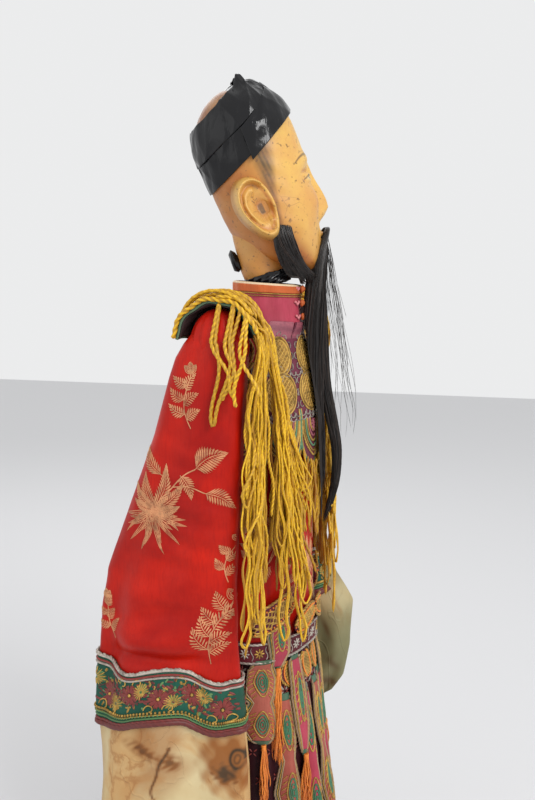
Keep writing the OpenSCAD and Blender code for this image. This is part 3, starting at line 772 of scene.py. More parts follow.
def make_right_water_sleeve():
    bottom = node_box("water_sleeve_right")[0][2] + 3
    hem = Cloth(hung_between(sleeve_right, col_r, lambda y: cuff_low(y) + 5, lambda y: y * 0 + bottom), flip=True)

    def where(u, v):
        p = hem.where(u, v)
        a = np.radians(u)
        drop = np.clip(1 - v, 0, 1)
        ripple = (2.2 * np.sin(3 * a + 0.8) + 1.5 * np.sin(5 * a + 2.1 + drop)
                  + 0.9 * np.sin(9 * a + 3 * drop)) * (0.25 + drop)
        p = p.copy()
        p[..., 0] -= ripple * np.sin(a) * 0.9
        p[..., 1] -= ripple * np.cos(a) * 0.35
        return p
    cloth = Cloth(where, flip=True)
    us, vs = ring_us(260), np.linspace(0, 1, 110)
    u, v = np.meshgrid(us, vs)
    p = cloth.at(u, v)
    y, z = p[..., 1], p[..., 2]
    outer = (p[..., 0] < -ARM_X)
    turn = np.arctan2(z - 157, y + 5)
    ring_r = np.hypot(y + 5, (z - 157) * 0.85) + 0.35 * np.sin(2 * turn + 0.7)
    ring = bell(ring_r, 4.4, 0.9) * np.clip(1.6 + turn / 2, 0, 1) + 0.6 * bell(ring_r, 1.9, 0.7)
    burn = np.clip(1.7 - np.hypot(y / 1.1, (z - 155) / 1.2) / 12
                   + 0.3 * np.sin(y * 0.5) * np.sin(z * 0.4 + 1), 0, 1)
    char = np.clip(1.4 - np.hypot((y - 2) / 6, (z - 147) / 5)
                   + 0.35 * np.sin(y * 0.9 + 1.3 * np.sin(z * 0.7)) * np.sin(z * 0.8 + 0.5), 0, 1)
    # brown scorches spreading down from the cuff, with cracks through them
    flow = np.clip((19 - np.abs(y - 42 + 4 * np.sin(z * 0.13)) + 5 * np.sin(z * 0.21 + y * 0.1)) / 12, 0, 1)
    flow = flow * np.clip((z - 118) / 30, 0, 1)
    smudge = np.clip(1.3 - np.hypot((y - 52) / 13, (z - 158 - 0.25 * (y - 52)) / 4.5), 0, 1)
    smudge = np.maximum(smudge, np.clip(1.2 - np.hypot((y - 34) / 7, (z - 152) / 6), 0, 1))
    smudge = smudge * np.clip(0.75 + 0.6 * np.sin(y * 0.75 + 1.6 * np.sin(z * 0.55)) * np.sin(z * 0.85 + y * 0.3), 0, 1)
    crack = 0.8 * bell(y - 40 - 5 * np.sin((z - 120) * 0.11) - 1.0 * np.sin(z * 0.3), 0, 0.8) * (z > 108) * (z < 162)
    # orange-brown towards the lower and back edges
    low_edge = 0.7 * np.clip((104 - z) / 8, 0, 1) + 0.5 * np.clip((y - 78) / 8, 0, 1)
    share = np.clip(np.maximum(ring + burn + char, 0.6 * flow + 0.8 * smudge + crack) * outer + low_edge, 0, 0.95)
    orange_brown = np.array([0.30, 0.095, 0.015])
    dark = np.array([0.024, 0.010, 0.004])
    darkness = np.clip((ring + 0.12 * burn + 0.8 * char + 0.6 * smudge + crack) * outer, 0, 1)
    stain_and_shade = orange_brown + (dark - orange_brown) * darkness[..., None]
    obj = shell("water_sleeve_right_silk", cloth, us, vs, 0.5, MAT["water"], wrap=True,
                colors={"stain_and_shade": stain_and_shade, "stain_and_shade_share": share})
    finish_piece(obj, "forearm_right", "water_silk", "water_sleeve_right")
    return obj


# left arm: the sleeve follows the bent arm; [distance down the arm, front reach, back reach, half width]
SLEEVE_L = [[-9, 3, 6, 5], [-2, 9, 11, 10], [20, 16, 16, 13], [50, 25, 20, 13.5], [82, 26, 25, 13.5],
            [120, 18, 27, 13], [152, 13.5, 28, 13], [182, 14, 29, 13]]
BACK_LEFT = 4
FORWARD_LEFT = 13


def left_arm_where():
    ts = np.linspace(-12, 190, 203)
    turn = np.clip((ts - 55) / 55, 0, 1)
    angle = np.radians(BACK_LEFT - (BACK_LEFT + FORWARD_LEFT) * turn * turn * (3 - 2 * turn))
    step = ts[1] - ts[0]
    ys = SHOULDER[1] + np.cumsum(np.sin(angle)) * step + 12 * math.sin(math.radians(-BACK_LEFT))
    zs = SHOULDER[2] - np.cumsum(np.cos(angle)) * step + 12
    col = table(SLEEVE_L)

    def where(u, v):
        a = np.radians(u)
        c, s = np.cos(a), np.sin(a)
        y0, z0, lean = np.interp(v, ts, ys), np.interp(v, ts, zs), np.interp(v, ts, angle)
        fold = wavy(u, v, [(1.1, 0.06, 0.05, 0.3), (0.8, 0.1, -0.09, 1.3)]) + 1.6 * bell(v, 88, 22) * np.sin(v * 0.5)
        reach = np.where(c > 0, -col(v, 1) * c, -col(v, 2) * c) - fold * c * 0.4
        x = ARM_X + (col(v, 3) + fold * 0.7) * np.sign(s) * np.abs(s) ** 0.75
        return np.stack([x, y0 + reach * np.cos(lean), z0 + reach * np.sin(lean)], -1)
    return where


def make_left_sleeve():
    where = left_arm_where()
    cloth = Cloth(where, flip=True)
    sleeve = shell("sleeve_left", cloth, ring_us(140), np.linspace(-9, 153, 100), 0.9, MAT["red"], wrap=True)
    over_elbow(sleeve, "left", "sleeve_upper_left", "sleeve_lower_left")
    cuff = shell("cuff_left", cloth, ring_us(140), np.linspace(151, 183, 16), 2.0, MAT["green"], wrap=True,
                 lift=1.1)
    finish_piece(cuff, "forearm_left", "green_cuff", "cuff_band_left")
    return sleeve, cuff, cloth


# left water sleeve: [height, middle y, half depth, half width]
HUNG = [[140, -16, 4, 7], [146, -18, 11, 10], [157, -20, 16, 12], [178, -20, 20.5, 13], [206, -17, 23, 13],
        [224, -9, 19, 12.5], [238, -6, 18, 12]]


def make_left_water_sleeve():
    col = table(HUNG)

    def where(u, v):
        a = np.radians(u)
        c, s = np.cos(a), np.sin(a)
        ripple = 1.4 * np.sin(4 * a + 0.06 * v) + 0.9 * np.sin(7 * a - 0.09 * v)
        x = ARM_X + (col(v, 3) + ripple) * np.sign(s) * np.abs(s) ** 0.8
        y = col(v, 1) - (col(v, 2) + ripple * 0.7) * c
        return np.stack([x, y, v + 3 * np.sin(2 * a + 0.5)], -1)
    cloth = Cloth(where)
    us, vs = ring_us(140), np.linspace(141, 238, 60)
    u, v = np.meshgrid(us, vs)
    p = cloth.at(u, v)
    y, z = p[..., 1], p[..., 2]
    # painted shade: the olive share is strongest low down and weakest near the top
    share = np.clip(0.84 + 0.3 * bell(z, 160, 22) + 0.3 * bell(y, -12, 9) - 0.45 * bell(z, 214, 12), 0, 0.94)
    # olive painted shade over the whole sleeve, with brown marks down the side near the body, partly stains and partly
    # painted shade
    brown = (bell(y + 16 + 3 * np.sin(z * 0.16), 0, 4) * bell(z, 186, 22)
             + bell(y + 30 + 2 * np.sin(z * 0.4), 0, 3) * bell(z, 166, 6)
             + bell(y + 26 - 0.4 * (z - 190), 0, 2) * bell(z, 192, 8)
             + bell(z + 3 * np.sin(y * 0.3), 149, 4))
    stain_and_shade = np.array([0.17, 0.165, 0.08]) + np.clip(brown, 0, 1)[..., None] * np.array([-0.09, -0.12, -0.065])
    obj = shell("water_sleeve_left_silk", cloth, us, vs, 0.5, MAT["water"], wrap=True,
                colors={"stain_and_shade": stain_and_shade, "stain_and_shade_share": share})
    finish_piece(obj, "forearm_left", "water_silk", "water_sleeve_left")
    return obj


# ---------------------------------------------------------------- torso garments

# body outline: [height, middle y, half width, half depth]
TORSO = [[200, 3, 45, 30], [240, 2, 44.5, 29], [300, 1, 43.5, 28], [350, 1, 43, 27], [378, 2, 42, 24],
         [390, 2, 39, 22], [398, 2, 33, 20.5], [404, 1, 25, 21], [408, 0, 21, 20.5]]
torso_col = table(TORSO)
BODY_R = 38.0     # millimetres of cloth for each radian round the body


def torso_where(u, v):
    """u is millimetres round the body from the middle front, + towards the left; v is the height."""
    a = u / BODY_R
    fold = wavy(u, v, [(0.6, 0.11, 0.03, 0.5), (0.4, 0.21, -0.04, 1.9)]) * np.clip((320 - v) / 80, 0.2, 1)
    return np.stack([(torso_col(v, 2) + fold) * np.sin(a), torso_col(v, 1) - (torso_col(v, 3) + fold) * np.cos(a),
                     v + 0 * u], -1)


torso = Cloth(torso_where)
AROUND = TAU * BODY_R


def make_jacket():
    us = np.linspace(-AROUND / 2, AROUND / 2, 220, endpoint=False)
    obj = shell("jacket_red", torso, us, np.linspace(203, 405, 120), 0.8, MAT["red"], wrap=True)
    finish_piece(obj, "torso", "red_silk", "jacket")
    return obj


# skirt outline: [height, middle y, half width, half depth]
SKIRT = [[70, 31, 51, 76], [90, 28, 50, 71], [110, 25, 49, 65], [150, 15, 47.5, 50], [185, 6, 45.5, 36],
         [206, 3, 44, 29]]
skirt_col = table(SKIRT)


def skirt_where(u, v):
    """u is degrees round the skirt from the middle front, + towards the left; v is the height."""
    a = np.radians(u)
    deep = np.clip((206 - v) / 110, 0, 1)
    pleat = (2.6 * np.sin(a * 17 + 0.3) + 1.2 * np.sin(a * 29 + 1.0 + 0.02 * v)) * deep
    flare = 1 + pleat / 60
    return np.stack([(skirt_col(v, 2) - 1.5) * np.sin(a) * flare,
                     skirt_col(v, 1) - (skirt_col(v, 3) - 1.5) * np.cos(a) * flare, v + 0 * u], -1)


skirt = Cloth(skirt_where)


def make_skirts():
    front = shell("skirt_front_panel", skirt, np.linspace(-93, 93, 220), np.linspace(71, 207, 70), 1.0,
                  MAT["maroon"], lift=0.6)
    finish_piece(front, "torso", "red_silk", "skirt_front")
    back = shell("skirt_back_panel", skirt, np.linspace(86, 274, 260), np.linspace(71, 207, 70), 1.0,
                 MAT["maroon"], lift=-0.8)
    finish_piece(back, "torso", "maroon_brocade", "skirt_back")
    hem = Soup()
    for us in (np.linspace(-92, 92, 160), np.linspace(87, 273, 200)):
        for height, width in ((72, 2.4), (77.5, 0.9)):
            stitch(hem, skirt, columns(us, height), width, 0.8, lift=0.8, tone=0.6)
    border = put(hem, "skirt_hem_piping", "sage", "torso", "maroon_brocade")
    return front, back, border


def make_standing_collar():
    low, high = node_box("standing_collar")
    radius = (high[0] - low[0]) / 2
    half = math.pi * radius

    def where(u, v):
        a = u / radius
        r = radius - 0.3 + 0.35 * np.sin(u * 0.5 + v * 0.1) + 0.9 * bell(v, 404, 4)
        sag = -1.5 * np.cos(a) * np.clip((v - 405) / 25, 0, 1)
        return np.stack([r * np.sin(a), -r * np.cos(a), v + sag], -1)
    cloth = Cloth(where)
    us = np.linspace(-half + 0.2, half - 0.2, 160)
    body = shell("collar_silk", cloth, us, np.linspace(403, high[2], 30), 2.2, MAT["pink"])
    finish_piece(body, "torso", "pink_silk", "standing_collar")
    band = shell("collar_orange_band", cloth, us, np.linspace(424.0, 428.5, 8), 0.8, MAT["orange_band"], lift=0.9)
    finish_piece(band, "torso", "orange_band", "collar_piping")
    rows = Soup()
    rim = columns(us, high[2] + 0.2)
    stitch(rows, cloth, rim, 2.8, 1.5, lift=-0.6, tone=0.9)
    put(rows, "collar_cream_rim", "cream", "torso", "orange_band")
    lines = Soup()
    for v, w in ((423.4, 0.8), (422.0, 0.5)):
        stitch(lines, cloth, columns(us, v), w, 0.7, lift=0.3, tone=0.7)
    put(lines, "collar_gilt_lines", "gold", "torso", "orange_band")
    return cloth


sleeve_r_obj = make_right_sleeve()
cuff_r_obj, cuff_r_band = make_right_cuff()
water_r_obj = make_right_water_sleeve()
sleeve_l_obj, cuff_l_obj, left_cloth = make_left_sleeve()
water_l_obj = make_left_water_sleeve()
jacket_obj = make_jacket()
skirt_front_obj, skirt_back_obj, skirt_hem_obj = make_skirts()
collar_cloth = make_standing_collar()

# ---------------------------------------------------------------- head

NOD_Z = 434
YAW, TIP = math.radians(28), math.radians(22)
ACROSS = np.array([math.cos(YAW), math.sin(YAW), 0.0])
AHEAD = np.array([math.sin(YAW), -math.cos(YAW), 0.0])
UP = np.array([0.0, 0.0, 1.0])


def head_at(x, u, w):
    """Row-frame point of x across, u forward and w up in the tipped head, from the nodding pin."""
    x, u, w = np.broadcast_arrays(*(np.asarray(v, float) for v in (x, u, w)))
    f = u * math.cos(TIP) - w * math.sin(TIP)
    h = u * math.sin(TIP) + w * math.cos(TIP) + NOD_Z
    return x[..., None] * ACROSS + f[..., None] * AHEAD + h[..., None] * UP


# skull: [w, middle u, half depth, half width]
SKULL = [[-10, 26.5, 1, 2], [-9, 26.5, 5.5, 7], [-5, 24.7, 8.8, 12], [-1, 22.5, 12, 16.5], [4, 20.3, 16, 20],
         [10, 18.2, 20.2, 23], [20, 17.2, 24, 25.8], [32, 16.6, 27.8, 27.3], [46, 16.5, 29, 28], [62, 17, 30, 28.6],
         [80, 17, 29.8, 28.4], [90, 16.8, 27.6, 26.2], [98, 16.4, 22.8, 21.8], [104, 16, 16.5, 16],
         [108, 15.6, 9.5, 9.5], [110, 15.4, 3, 3]]


def spline_table(rows, fine=200):
    line = smooth_line(rows, fine)
    order = np.argsort(line[:, 0])
    line = line[order]
    return lambda h, c: np.interp(h, line[:, 0], line[:, c])


skull_col = spline_table(SKULL)


def face_relief(x, w):
    """How far the carving stands forward of the plain skull, for x across and w up."""
    ax = np.abs(x)
    ridge = np.interp(w, [17, 21, 24.5, 29, 40, 50, 56], [0, 5.4, 8.2, 7.4, 4.4, 2.6, 0.6])
    broad = np.interp(w, [18, 24, 30, 45, 55], [4.6, 4.4, 3.3, 2.5, 3.6])
    nose = ridge * np.exp(-(ax / broad) ** 2.4)
    wings = 2.6 * np.exp(-((ax - 5.4) / 2.1) ** 2 - ((w - 21.8) / 2.6) ** 2)
    nostril = -1.8 * np.exp(-((ax - 2.9) / 1.3) ** 2 - ((w - 18.8) / 1.2) ** 2)
    socket = -3.0 * np.exp(-((ax - 11.5) / 7.5) ** 2 - ((w - 47) / 5.0) ** 2)
    eye = 2.5 * np.exp(-((ax - 11.5) / 5.4) ** 4 - ((w - 45.6) / 3.3) ** 4)
    lid = 0.9 * np.exp(-((w - 47.4 + 0.035 * (ax - 11.5) ** 2) / 0.9) ** 2 - ((ax - 11.5) / 6.4) ** 4)
    crease = -0.8 * np.exp(-((w - 49.9 + 0.03 * (ax - 11.5) ** 2) / 0.7) ** 2 - ((ax - 11.5) / 6.6) ** 4)
    brow = 1.5 * np.exp(-((ax - 11) / 10) ** 2 - ((w - 56) / 4.2) ** 2)
    cheek = 1.9 * np.exp(-((ax - 15) / 7) ** 2 - ((w - 31) / 8) ** 2)
    fold = -0.7 * np.exp(-((ax - 8.6 - (22 - w) * 0.28) / 1.3) ** 2 - ((w - 15) / 7) ** 2)
    philtrum = -0.5 * np.exp(-(ax / 1.3) ** 2 - ((w - 14.6) / 2) ** 2)
    mound = 1.9 * np.exp(-(ax / 9.5) ** 2 - ((w - 9.5) / 6) ** 2)
    upper = 1.3 * np.exp(-(ax / 7.2) ** 4 - ((w - 11.4 + 0.012 * x ** 2) / 1.3) ** 2)
    mouth = -1.5 * np.exp(-(ax / 8.2) ** 4 - ((w - 9.3) / 0.65) ** 2)
    lower = 1.4 * np.exp(-(ax / 5.8) ** 4 - ((w - 7.0) / 1.5) ** 2)
    under = -1.0 * np.exp(-(ax / 6.5) ** 2 - ((w - 3.6) / 1.4) ** 2)
    chin = 2.2 * np.exp(-(ax / 7.5) ** 2 - ((w + 2.5) / 4.0) ** 2)
    temple = -1.3 * np.exp(-((ax - 23) / 5) ** 2 - ((w - 58) / 9) ** 2)
    return (nose + wings + nostril + socket + eye + lid + crease + brow + cheek + fold + philtrum + mound
            + upper + mouth + lower + under + chin + temple)


def skull_point(a, w, grow=0.0, relief=True):
    """a is the angle from the face in radians, + towards the puppet's left."""
    depth, half = skull_col(w, 2) + grow, skull_col(w, 3) + grow
    c, s = np.cos(a), np.sin(a)
    square = np.where(c > 0, 0.90, 1.0)
    x = half * np.sign(s) * np.abs(s) ** square
    u = skull_col(w, 1) + depth * c
    if relief:
        facing = np.clip(c * 1.6, 0, 1) ** 1.2
        u = u + face_relief(x, w) * facing
        tool = 0.16 * np.sin(9 * a + 0.35 * w) * np.sin(0.21 * w + 3 * a) * np.clip(1.2 - facing, 0.2, 1)
        x, u = x * (1 + tool / 28), u + tool * c
    return x, u, w


SKIN_FACE = np.array([0.80, 0.45, 0.135])
# the colour of the painted shade on the skin
SKIN_PAINTED_SHADE = np.array([0.46, 0.125, 0.022])
SKIN_ROSE = np.array([0.66, 0.24, 0.07])
BROW_INK = np.array([0.035, 0.024, 0.02])
BARE_CROWN = np.array([0.26, 0.085, 0.035])


def lay(base, ink, share):
    share = np.clip(share, 0, 1)[..., None]
    return base * (1 - share) + ink * share


def stroke(x, w, points, width):
    """Share of a tapering painted line through (x, w, width) points."""
    line = smooth_line(points, 60)
    near = np.full(x.shape, 1e9)
    for px, pw, pt in line:
        d = np.hypot(x - px, w - pw) / max(pt, 0.05)
        near = np.minimum(near, d)
    return np.clip(1.35 - near, 0, 1) * width


def face_colors(x, u, w, a):
    ax = np.abs(x)
    # painted shade: the skin darkens towards the back of the head and under the jaw
    back = np.clip(0.5 - np.cos(a), 0, 1)
    low = np.clip((26 - w) / 30, 0, 1)
    shade = 0.95 * np.clip(back * 0.95 + low * 0.55 + low * back, 0, 1)
    c = lay(np.broadcast_to(SKIN_FACE, x.shape + (3,)), SKIN_PAINTED_SHADE, shade)
    front = np.cos(a) > 0.1
    c = lay(c, SKIN_ROSE, 0.45 * bell(ax, 15, 8) * bell(w, 31, 9) * front)
    # painted shade in the nostrils and in the crease over each eye
    c = lay(c, SKIN_PAINTED_SHADE, 0.5 * bell(w, 18.4, 1.6) * bell(ax, 3, 2.6) * front)
    c = lay(c, SKIN_PAINTED_SHADE, 0.5 * bell(w, 49.9, 1.0) * (np.abs(ax - 11.5) < 7) * front)
    lips = np.exp(-(ax / 6.9) ** 4 - ((w - 9.0) / 3.0) ** 4) * front
    c = lay(c, np.array([0.52, 0.13, 0.06]), 0.75 * lips)
    c = lay(c, BROW_INK, 0.8 * bell(w, 9.3, 0.5) * (ax < 7.5) * front)
    # narrow downcast eyes: a pale sliver under a dark lid line
    c = lay(c, np.array([0.82, 0.72, 0.52]), np.exp(-((ax - 11.5) / 4.6) ** 4 - ((w - 44.9) / 1.1) ** 2) * front * 0.9)
    c = lay(c, BROW_INK, np.exp(-((ax - 11.2) / 1.25) ** 4 - ((w - 45.0) / 1.0) ** 4) * front)
    for s in (1, -1):
        c = lay(c, BROW_INK, stroke(s * x, w, [(5.2, 44.6, 0.25), (8.5, 46.1, 0.5), (12.5, 46.5, 0.6),
                                               (16.5, 45.3, 0.45), (19.8, 44.0, 0.2)], 1.0) * front)
        c = lay(c, BROW_INK, 0.95 * stroke(s * x, w, [(4.6, 55.0, 0.3), (8.5, 57.6, 0.75), (13.5, 58.9, 0.85),
                                                      (18.5, 57.8, 0.6), (22.6, 54.8, 0.25)], 1.0) * front)
        brow = [(6.0, 56.9, 0.2), (12.0, 60.6, 0.35), (18.0, 60.4, 0.25)]
        c = lay(c, BROW_INK, 0.5 * stroke(s * x, w, brow, 1.0) * front)
    # painted sideburn: a soft strip from the cap, thinning in front of the ear
    edge = np.interp(w, [18, 34, 60, 84], [12.5, 14.0, 17.5, 20.0])
    wide = np.interp(w, [18, 30, 48, 62, 84], [1.2, 2.3, 3.2, 5.4, 8.0])
    strands = 0.88 + 0.12 * np.sin(u * 2.4 + w * 0.3)
    burn = np.clip(1.35 - np.abs(u - edge) / wide, 0, 1) * (ax > 18) * np.clip((w - 20) / 5, 0, 1)
    c = lay(c, np.array([0.055, 0.035, 0.022]), 0.92 * burn * strands)
    crown = np.clip((w - 88) / 3, 0, 1)
    return lay(c, BARE_CROWN, crown)


def make_head_mesh():
    n, m = 300, 230
    a = np.linspace(-math.pi, math.pi, n, endpoint=False)
    # finer columns over the face
    a = a - 0.32 * np.sin(a)
    ws = np.linspace(-10, 110, m)
    aa, ww = np.meshgrid(a, ws)
    x, u, w = skull_point(aa, ww)
    points = head_at(x, u, w)
    obj = Soup().add(points, grid_quads(m, n, True)).build(
        "head_carving", MAT["skin"], colors={"paint": face_colors(x, u, w, aa).reshape(-1, 3)})
    return finish_piece(obj, "head", "painted_skin", "head")


def make_neck():
    n, ws = 96, np.linspace(-7, 36, 60)
    a = np.linspace(0, TAU, n, endpoint=False)
    aa, ww = np.meshgrid(a, ws)
    r = np.interp(ww, [-7, -4, 0, 20, 30, 36], [9, 13.2, 14, 14.0, 13.6, 12])
    r = r + 0.25 * np.sin(6 * aa + ww * 0.3)
    x, u = r * np.sin(aa), r * np.cos(aa) + np.clip((ww - 12) / 20, 0, 1) * 3.0
    # painted shade and light: the neck is painted dark, lighter on one side
    shade = lay(np.broadcast_to(SKIN_PAINTED_SHADE * 1.15, aa.shape + (3,)), SKIN_FACE * 0.85,
                np.clip(np.sin(aa * 1.0 + 4.0) * 0.35 + 0.15, 0, 0.5))
    obj = Soup().add(head_at(x, u, ww), grid_quads(len(ws), n, True)).build(
        "neck_column", MAT["skin"], colors={"paint": shade.reshape(-1, 3)})
    return finish_piece(obj, "head", "painted_skin")


def make_ear(side, name):
    """A large carved ear: rim, inner fold, bowl with a bored hole, tragus and lobe."""
    rings, n = 46, 128
    rho = np.linspace(0.0, 1.12, rings)[:, None]
    th = np.linspace(0, TAU, n, endpoint=False)[None, :]
    up, fwd = np.sin(th), np.cos(th)
    tall = np.where(up > 0, 17.5, 19.5)
    wide = 11.8 - 2.6 * np.clip(-up, 0, 1) + 1.2 * np.clip(up, 0, 1)
    w = rho * up * tall
    u = rho * fwd * wide * np.where(fwd > 0, 0.84, 1.0)
    lobe = np.clip(-up * 1.4 - 0.55, 0, 1)
    front = np.clip(fwd * 1.2 - 0.15, 0, 1)
    rim = 5.2 * bell(rho, 0.90, 0.085) * (1 - 0.9 * front * (up < 0.65)) * (1 - 0.6 * lobe)
    inner = 3.3 * bell(rho, 0.58, 0.12) * np.clip(0.35 - fwd, 0, 1) ** 0.6 * (1 - lobe)
    fork = 1.2 * bell(np.arctan2(w - 4, u + 1), 1.25, 0.25) * bell(rho, 0.5, 0.2)
    bowl = -3.0 * np.exp(-((u - 1.5) / 5.2) ** 2 - ((w + 1.5) / 7.5) ** 2)
    hole = -6.5 * np.exp(-((u - 2.2) / 2.3) ** 4 - ((w + 2.0) / 2.8) ** 4)
    tragus = 3.0 * np.exp(-((u - 7.8) / 1.7) ** 2 - ((w + 3.0) / 3.2) ** 2)
    anti = 2.0 * np.exp(-((u - 3.2) / 2.2) ** 2 - ((w + 10.5) / 2.0) ** 2)
    soft_lobe = 1.6 * np.exp(-((u - 1.0) / 5.5) ** 2 - ((w + 14.5) / 4.5) ** 2)
    base = 3.4 + 1.6 * np.clip(-fwd, 0, 1) * rho
    sink = -7.5 * np.clip((rho - 0.97) / 0.15, 0, 1) ** 1.4
    out = base + rim + inner + fork + bowl + hole + tragus + anti + soft_lobe + sink
    out = out + 0.10 * np.sin(th * 11 + rho * 22)
    out = np.where(rho < 0.9, np.maximum(out, 0.9), out)
    lean = math.radians(-9)
    uu = u * math.cos(lean) + w * math.sin(lean)
    ww = -u * math.sin(lean) + w * math.cos(lean)
    flare = np.clip(-u / 11, 0, 1) * 2.6
    skull_x = 25.6
    x = side * (skull_x + out + flare)
    uu, ww = uu + 5, ww + 40
    # painted shade: the bored hole near black, and the bowl, the groove inside the rim and the edge against the skull
    # darker
    dark = np.clip(-hole / 3.0, 0, 1)
    soft = np.clip((-bowl - 0.3) / 2.4, 0, 1) * 0.85 + 0.7 * bell(rho, 0.74, 0.08)
    c = lay(np.broadcast_to(SKIN_FACE * 0.97, out.shape + (3,)), SKIN_PAINTED_SHADE, np.broadcast_to(soft, out.shape))
    c = lay(c, np.array([0.03, 0.012, 0.008]), np.broadcast_to(dark, out.shape))
    c = lay(c, SKIN_PAINTED_SHADE * 0.8, np.broadcast_to(np.clip((rho - 1.0) / 0.1, 0, 0.7), out.shape))
    quads = grid_quads(rings, n, True)
    if side < 0:
        quads = quads[:, ::-1]
    obj = Soup().add(head_at(x, uu, ww), quads).build(name, MAT["skin"], colors={"paint": c.reshape(-1, 3)})
    return finish_piece(obj, "head", "painted_skin")


# ---------------------------------------------------------------- taped cap

CAP_LOW, CAP_TILT = 70.5, 13.5


def cap_where(grow, wrinkle):
    """u is degrees round the head from the face, v is millimetres of tape up from the cap's edge."""
    steps = np.linspace(50, 110, 160)

    def where(u, v):
        a = np.radians(u)
        start = CAP_LOW + CAP_TILT * np.cos(a)
        # the tape runs up the skull by its own length, so it turns over at the crown
        half = skull_col(steps, 3)
        run = np.append(0, np.cumsum(np.hypot(np.diff(steps), np.diff(half))))
        w = np.interp(np.interp(start, steps, run) + v, run, steps)
        g = grow + wrinkle(u, v, w)
        x, uu, ww = skull_point(a, w, g, relief=False)
        slope = np.clip((w - 86) / 20, 0, 1)
        return head_at(x, uu, ww + g * slope * 1.4)
    return where


def tape_wrinkle(seed):
    r = np.random.default_rng(seed)
    folds = [(r.uniform(-180, 180), r.uniform(4, 9), r.uniform(-1.6, 1.6), r.uniform(0.35, 1.0)) for _ in range(26)]

    def wrinkle(u, v, w):
        total = 0.25 * np.sin(u * 0.11 + v * 0.4) + 0.15 * np.sin(u * 0.31 - v * 0.22)
        for middle, wide, lean, tall in folds:
            d = (u - middle - lean * v * 1.6 + 180) % 360 - 180
            total = total + tall * np.exp(-np.abs(d / wide) ** 1.3) * (0.3 + 0.7 * np.clip(v / 22, 0, 1))
        crush = np.clip((w - 99) / 8, 0, 1)
        return total * (0.62 + 0.55 * crush)
    return wrinkle


def make_cap():
    us = np.linspace(-180, 180, 420, endpoint=False)
    lower = Cloth(cap_where(1.2, tape_wrinkle(3)))
    obj = shell("cap_tape_lower", lower, us, np.linspace(0, 21, 50), 0.7, MAT["tape"], wrap=True)
    finish_piece(obj, "head", "black_tape", "cap_band_lower")
    upper = Cloth(cap_where(2.2, tape_wrinkle(8)))
    obj = shell("cap_tape_upper", upper, us, np.linspace(17, 37.5, 50), 0.7, MAT["tape"], wrap=True)
    finish_piece(obj, "head", "black_tape", "cap_band_upper")
    # a third strip, laid slanting over the front
    slant = cap_where(2.9, tape_wrinkle(12))
    strip = Cloth(lambda u, v: slant(u, v + 3 + 0.06 * u))
    obj = shell("cap_tape_slant", strip, np.linspace(-100, 95, 240), np.linspace(0, 19, 40), 0.6, MAT["tape"])
    finish_piece(obj, "head", "black_tape")
    # crumpled end of the tape, folded into a low peak over the brow
    s, t = np.meshgrid(np.linspace(-1, 1, 90), np.linspace(0, 1, 40))
    crest = 5.4 * np.exp(-(np.abs(s) / 0.62) ** 2.2) * np.sin(math.pi * np.clip(t, 0, 1)) ** 0.7
    crest = crest + 1.1 * np.abs(np.sin(s * 9 + t * 4)) * np.sin(math.pi * t)
    x, u = 15 * s, 36 - 20 * t + 1.5 * np.sin(s * 5)
    w = np.interp(np.hypot(x, (u - 16)), [0, 9, 16, 22, 26], [107.5, 106.2, 103.2, 98.6, 92.5]) + 1.4 + crest * 0.7
    quads = grid_quads(40, 90)
    peak = Soup().add(head_at(x, u, w), quads)
    peak.add(head_at(x, u, w - 0.7), quads[:, ::-1])
    obj = put(peak, "cap_tape_peak", "tape", "head", "black_tape", "cap_peak")


def make_neck_tape():
    def where(u, v):
        a = np.radians(u)
        r = 15.1 + 0.55 * (1 - np.cos(a)) + 0.35 * np.sin(5 * a + v) + 0.3 * np.sin(11 * a - v * 2)
        return head_at(r * np.sin(a), r * np.cos(a), v + 0.8 * np.sin(2 * a))
    ring = Cloth(where)
    obj = shell("neck_tape_wrap", ring, np.linspace(45, 315, 136), np.linspace(-6.2, 1.8, 16), 0.9, MAT["tape"])
    finish_piece(obj, "head", "black_tape", "neck_tape")
    n, m = 40, 26
    a = np.linspace(0, TAU, n, endpoint=False)
    t = np.linspace(0, 1, m)
    aa, tt = np.meshgrid(a, t)
    r = np.interp(tt, [0, 0.1, 0.5, 0.85, 1], [0.4, 3.0, 3.6, 2.8, 0.3]) * (1 + 0.12 * np.sin(3 * aa + 5 * tt))
    x, u, w = r * np.cos(aa) * 1.1, -15.6 + r * 0.75 * np.sin(aa), 8.5 + 14 * tt
    obj = Soup().add(head_at(x, u, w), grid_quads(m, n, True)).build("neck_tape_knob", MAT["tape"])
    finish_piece(obj, "head", "black_tape", "neck_tab")


# ---------------------------------------------------------------- hair

def chest_front(x, z):
    """Depth y of the dressed chest at x across and height z, for keeping the locks off it."""
    half, mid, deep = torso_col(z, 2), torso_col(z, 1), torso_col(z, 3)
    front = mid - deep * np.sqrt(np.clip(1 - (x / half) ** 2, 0.05, 1)) - 6.8
    return np.where(z > 405, np.where(z < 433, -22.5, 99), front)


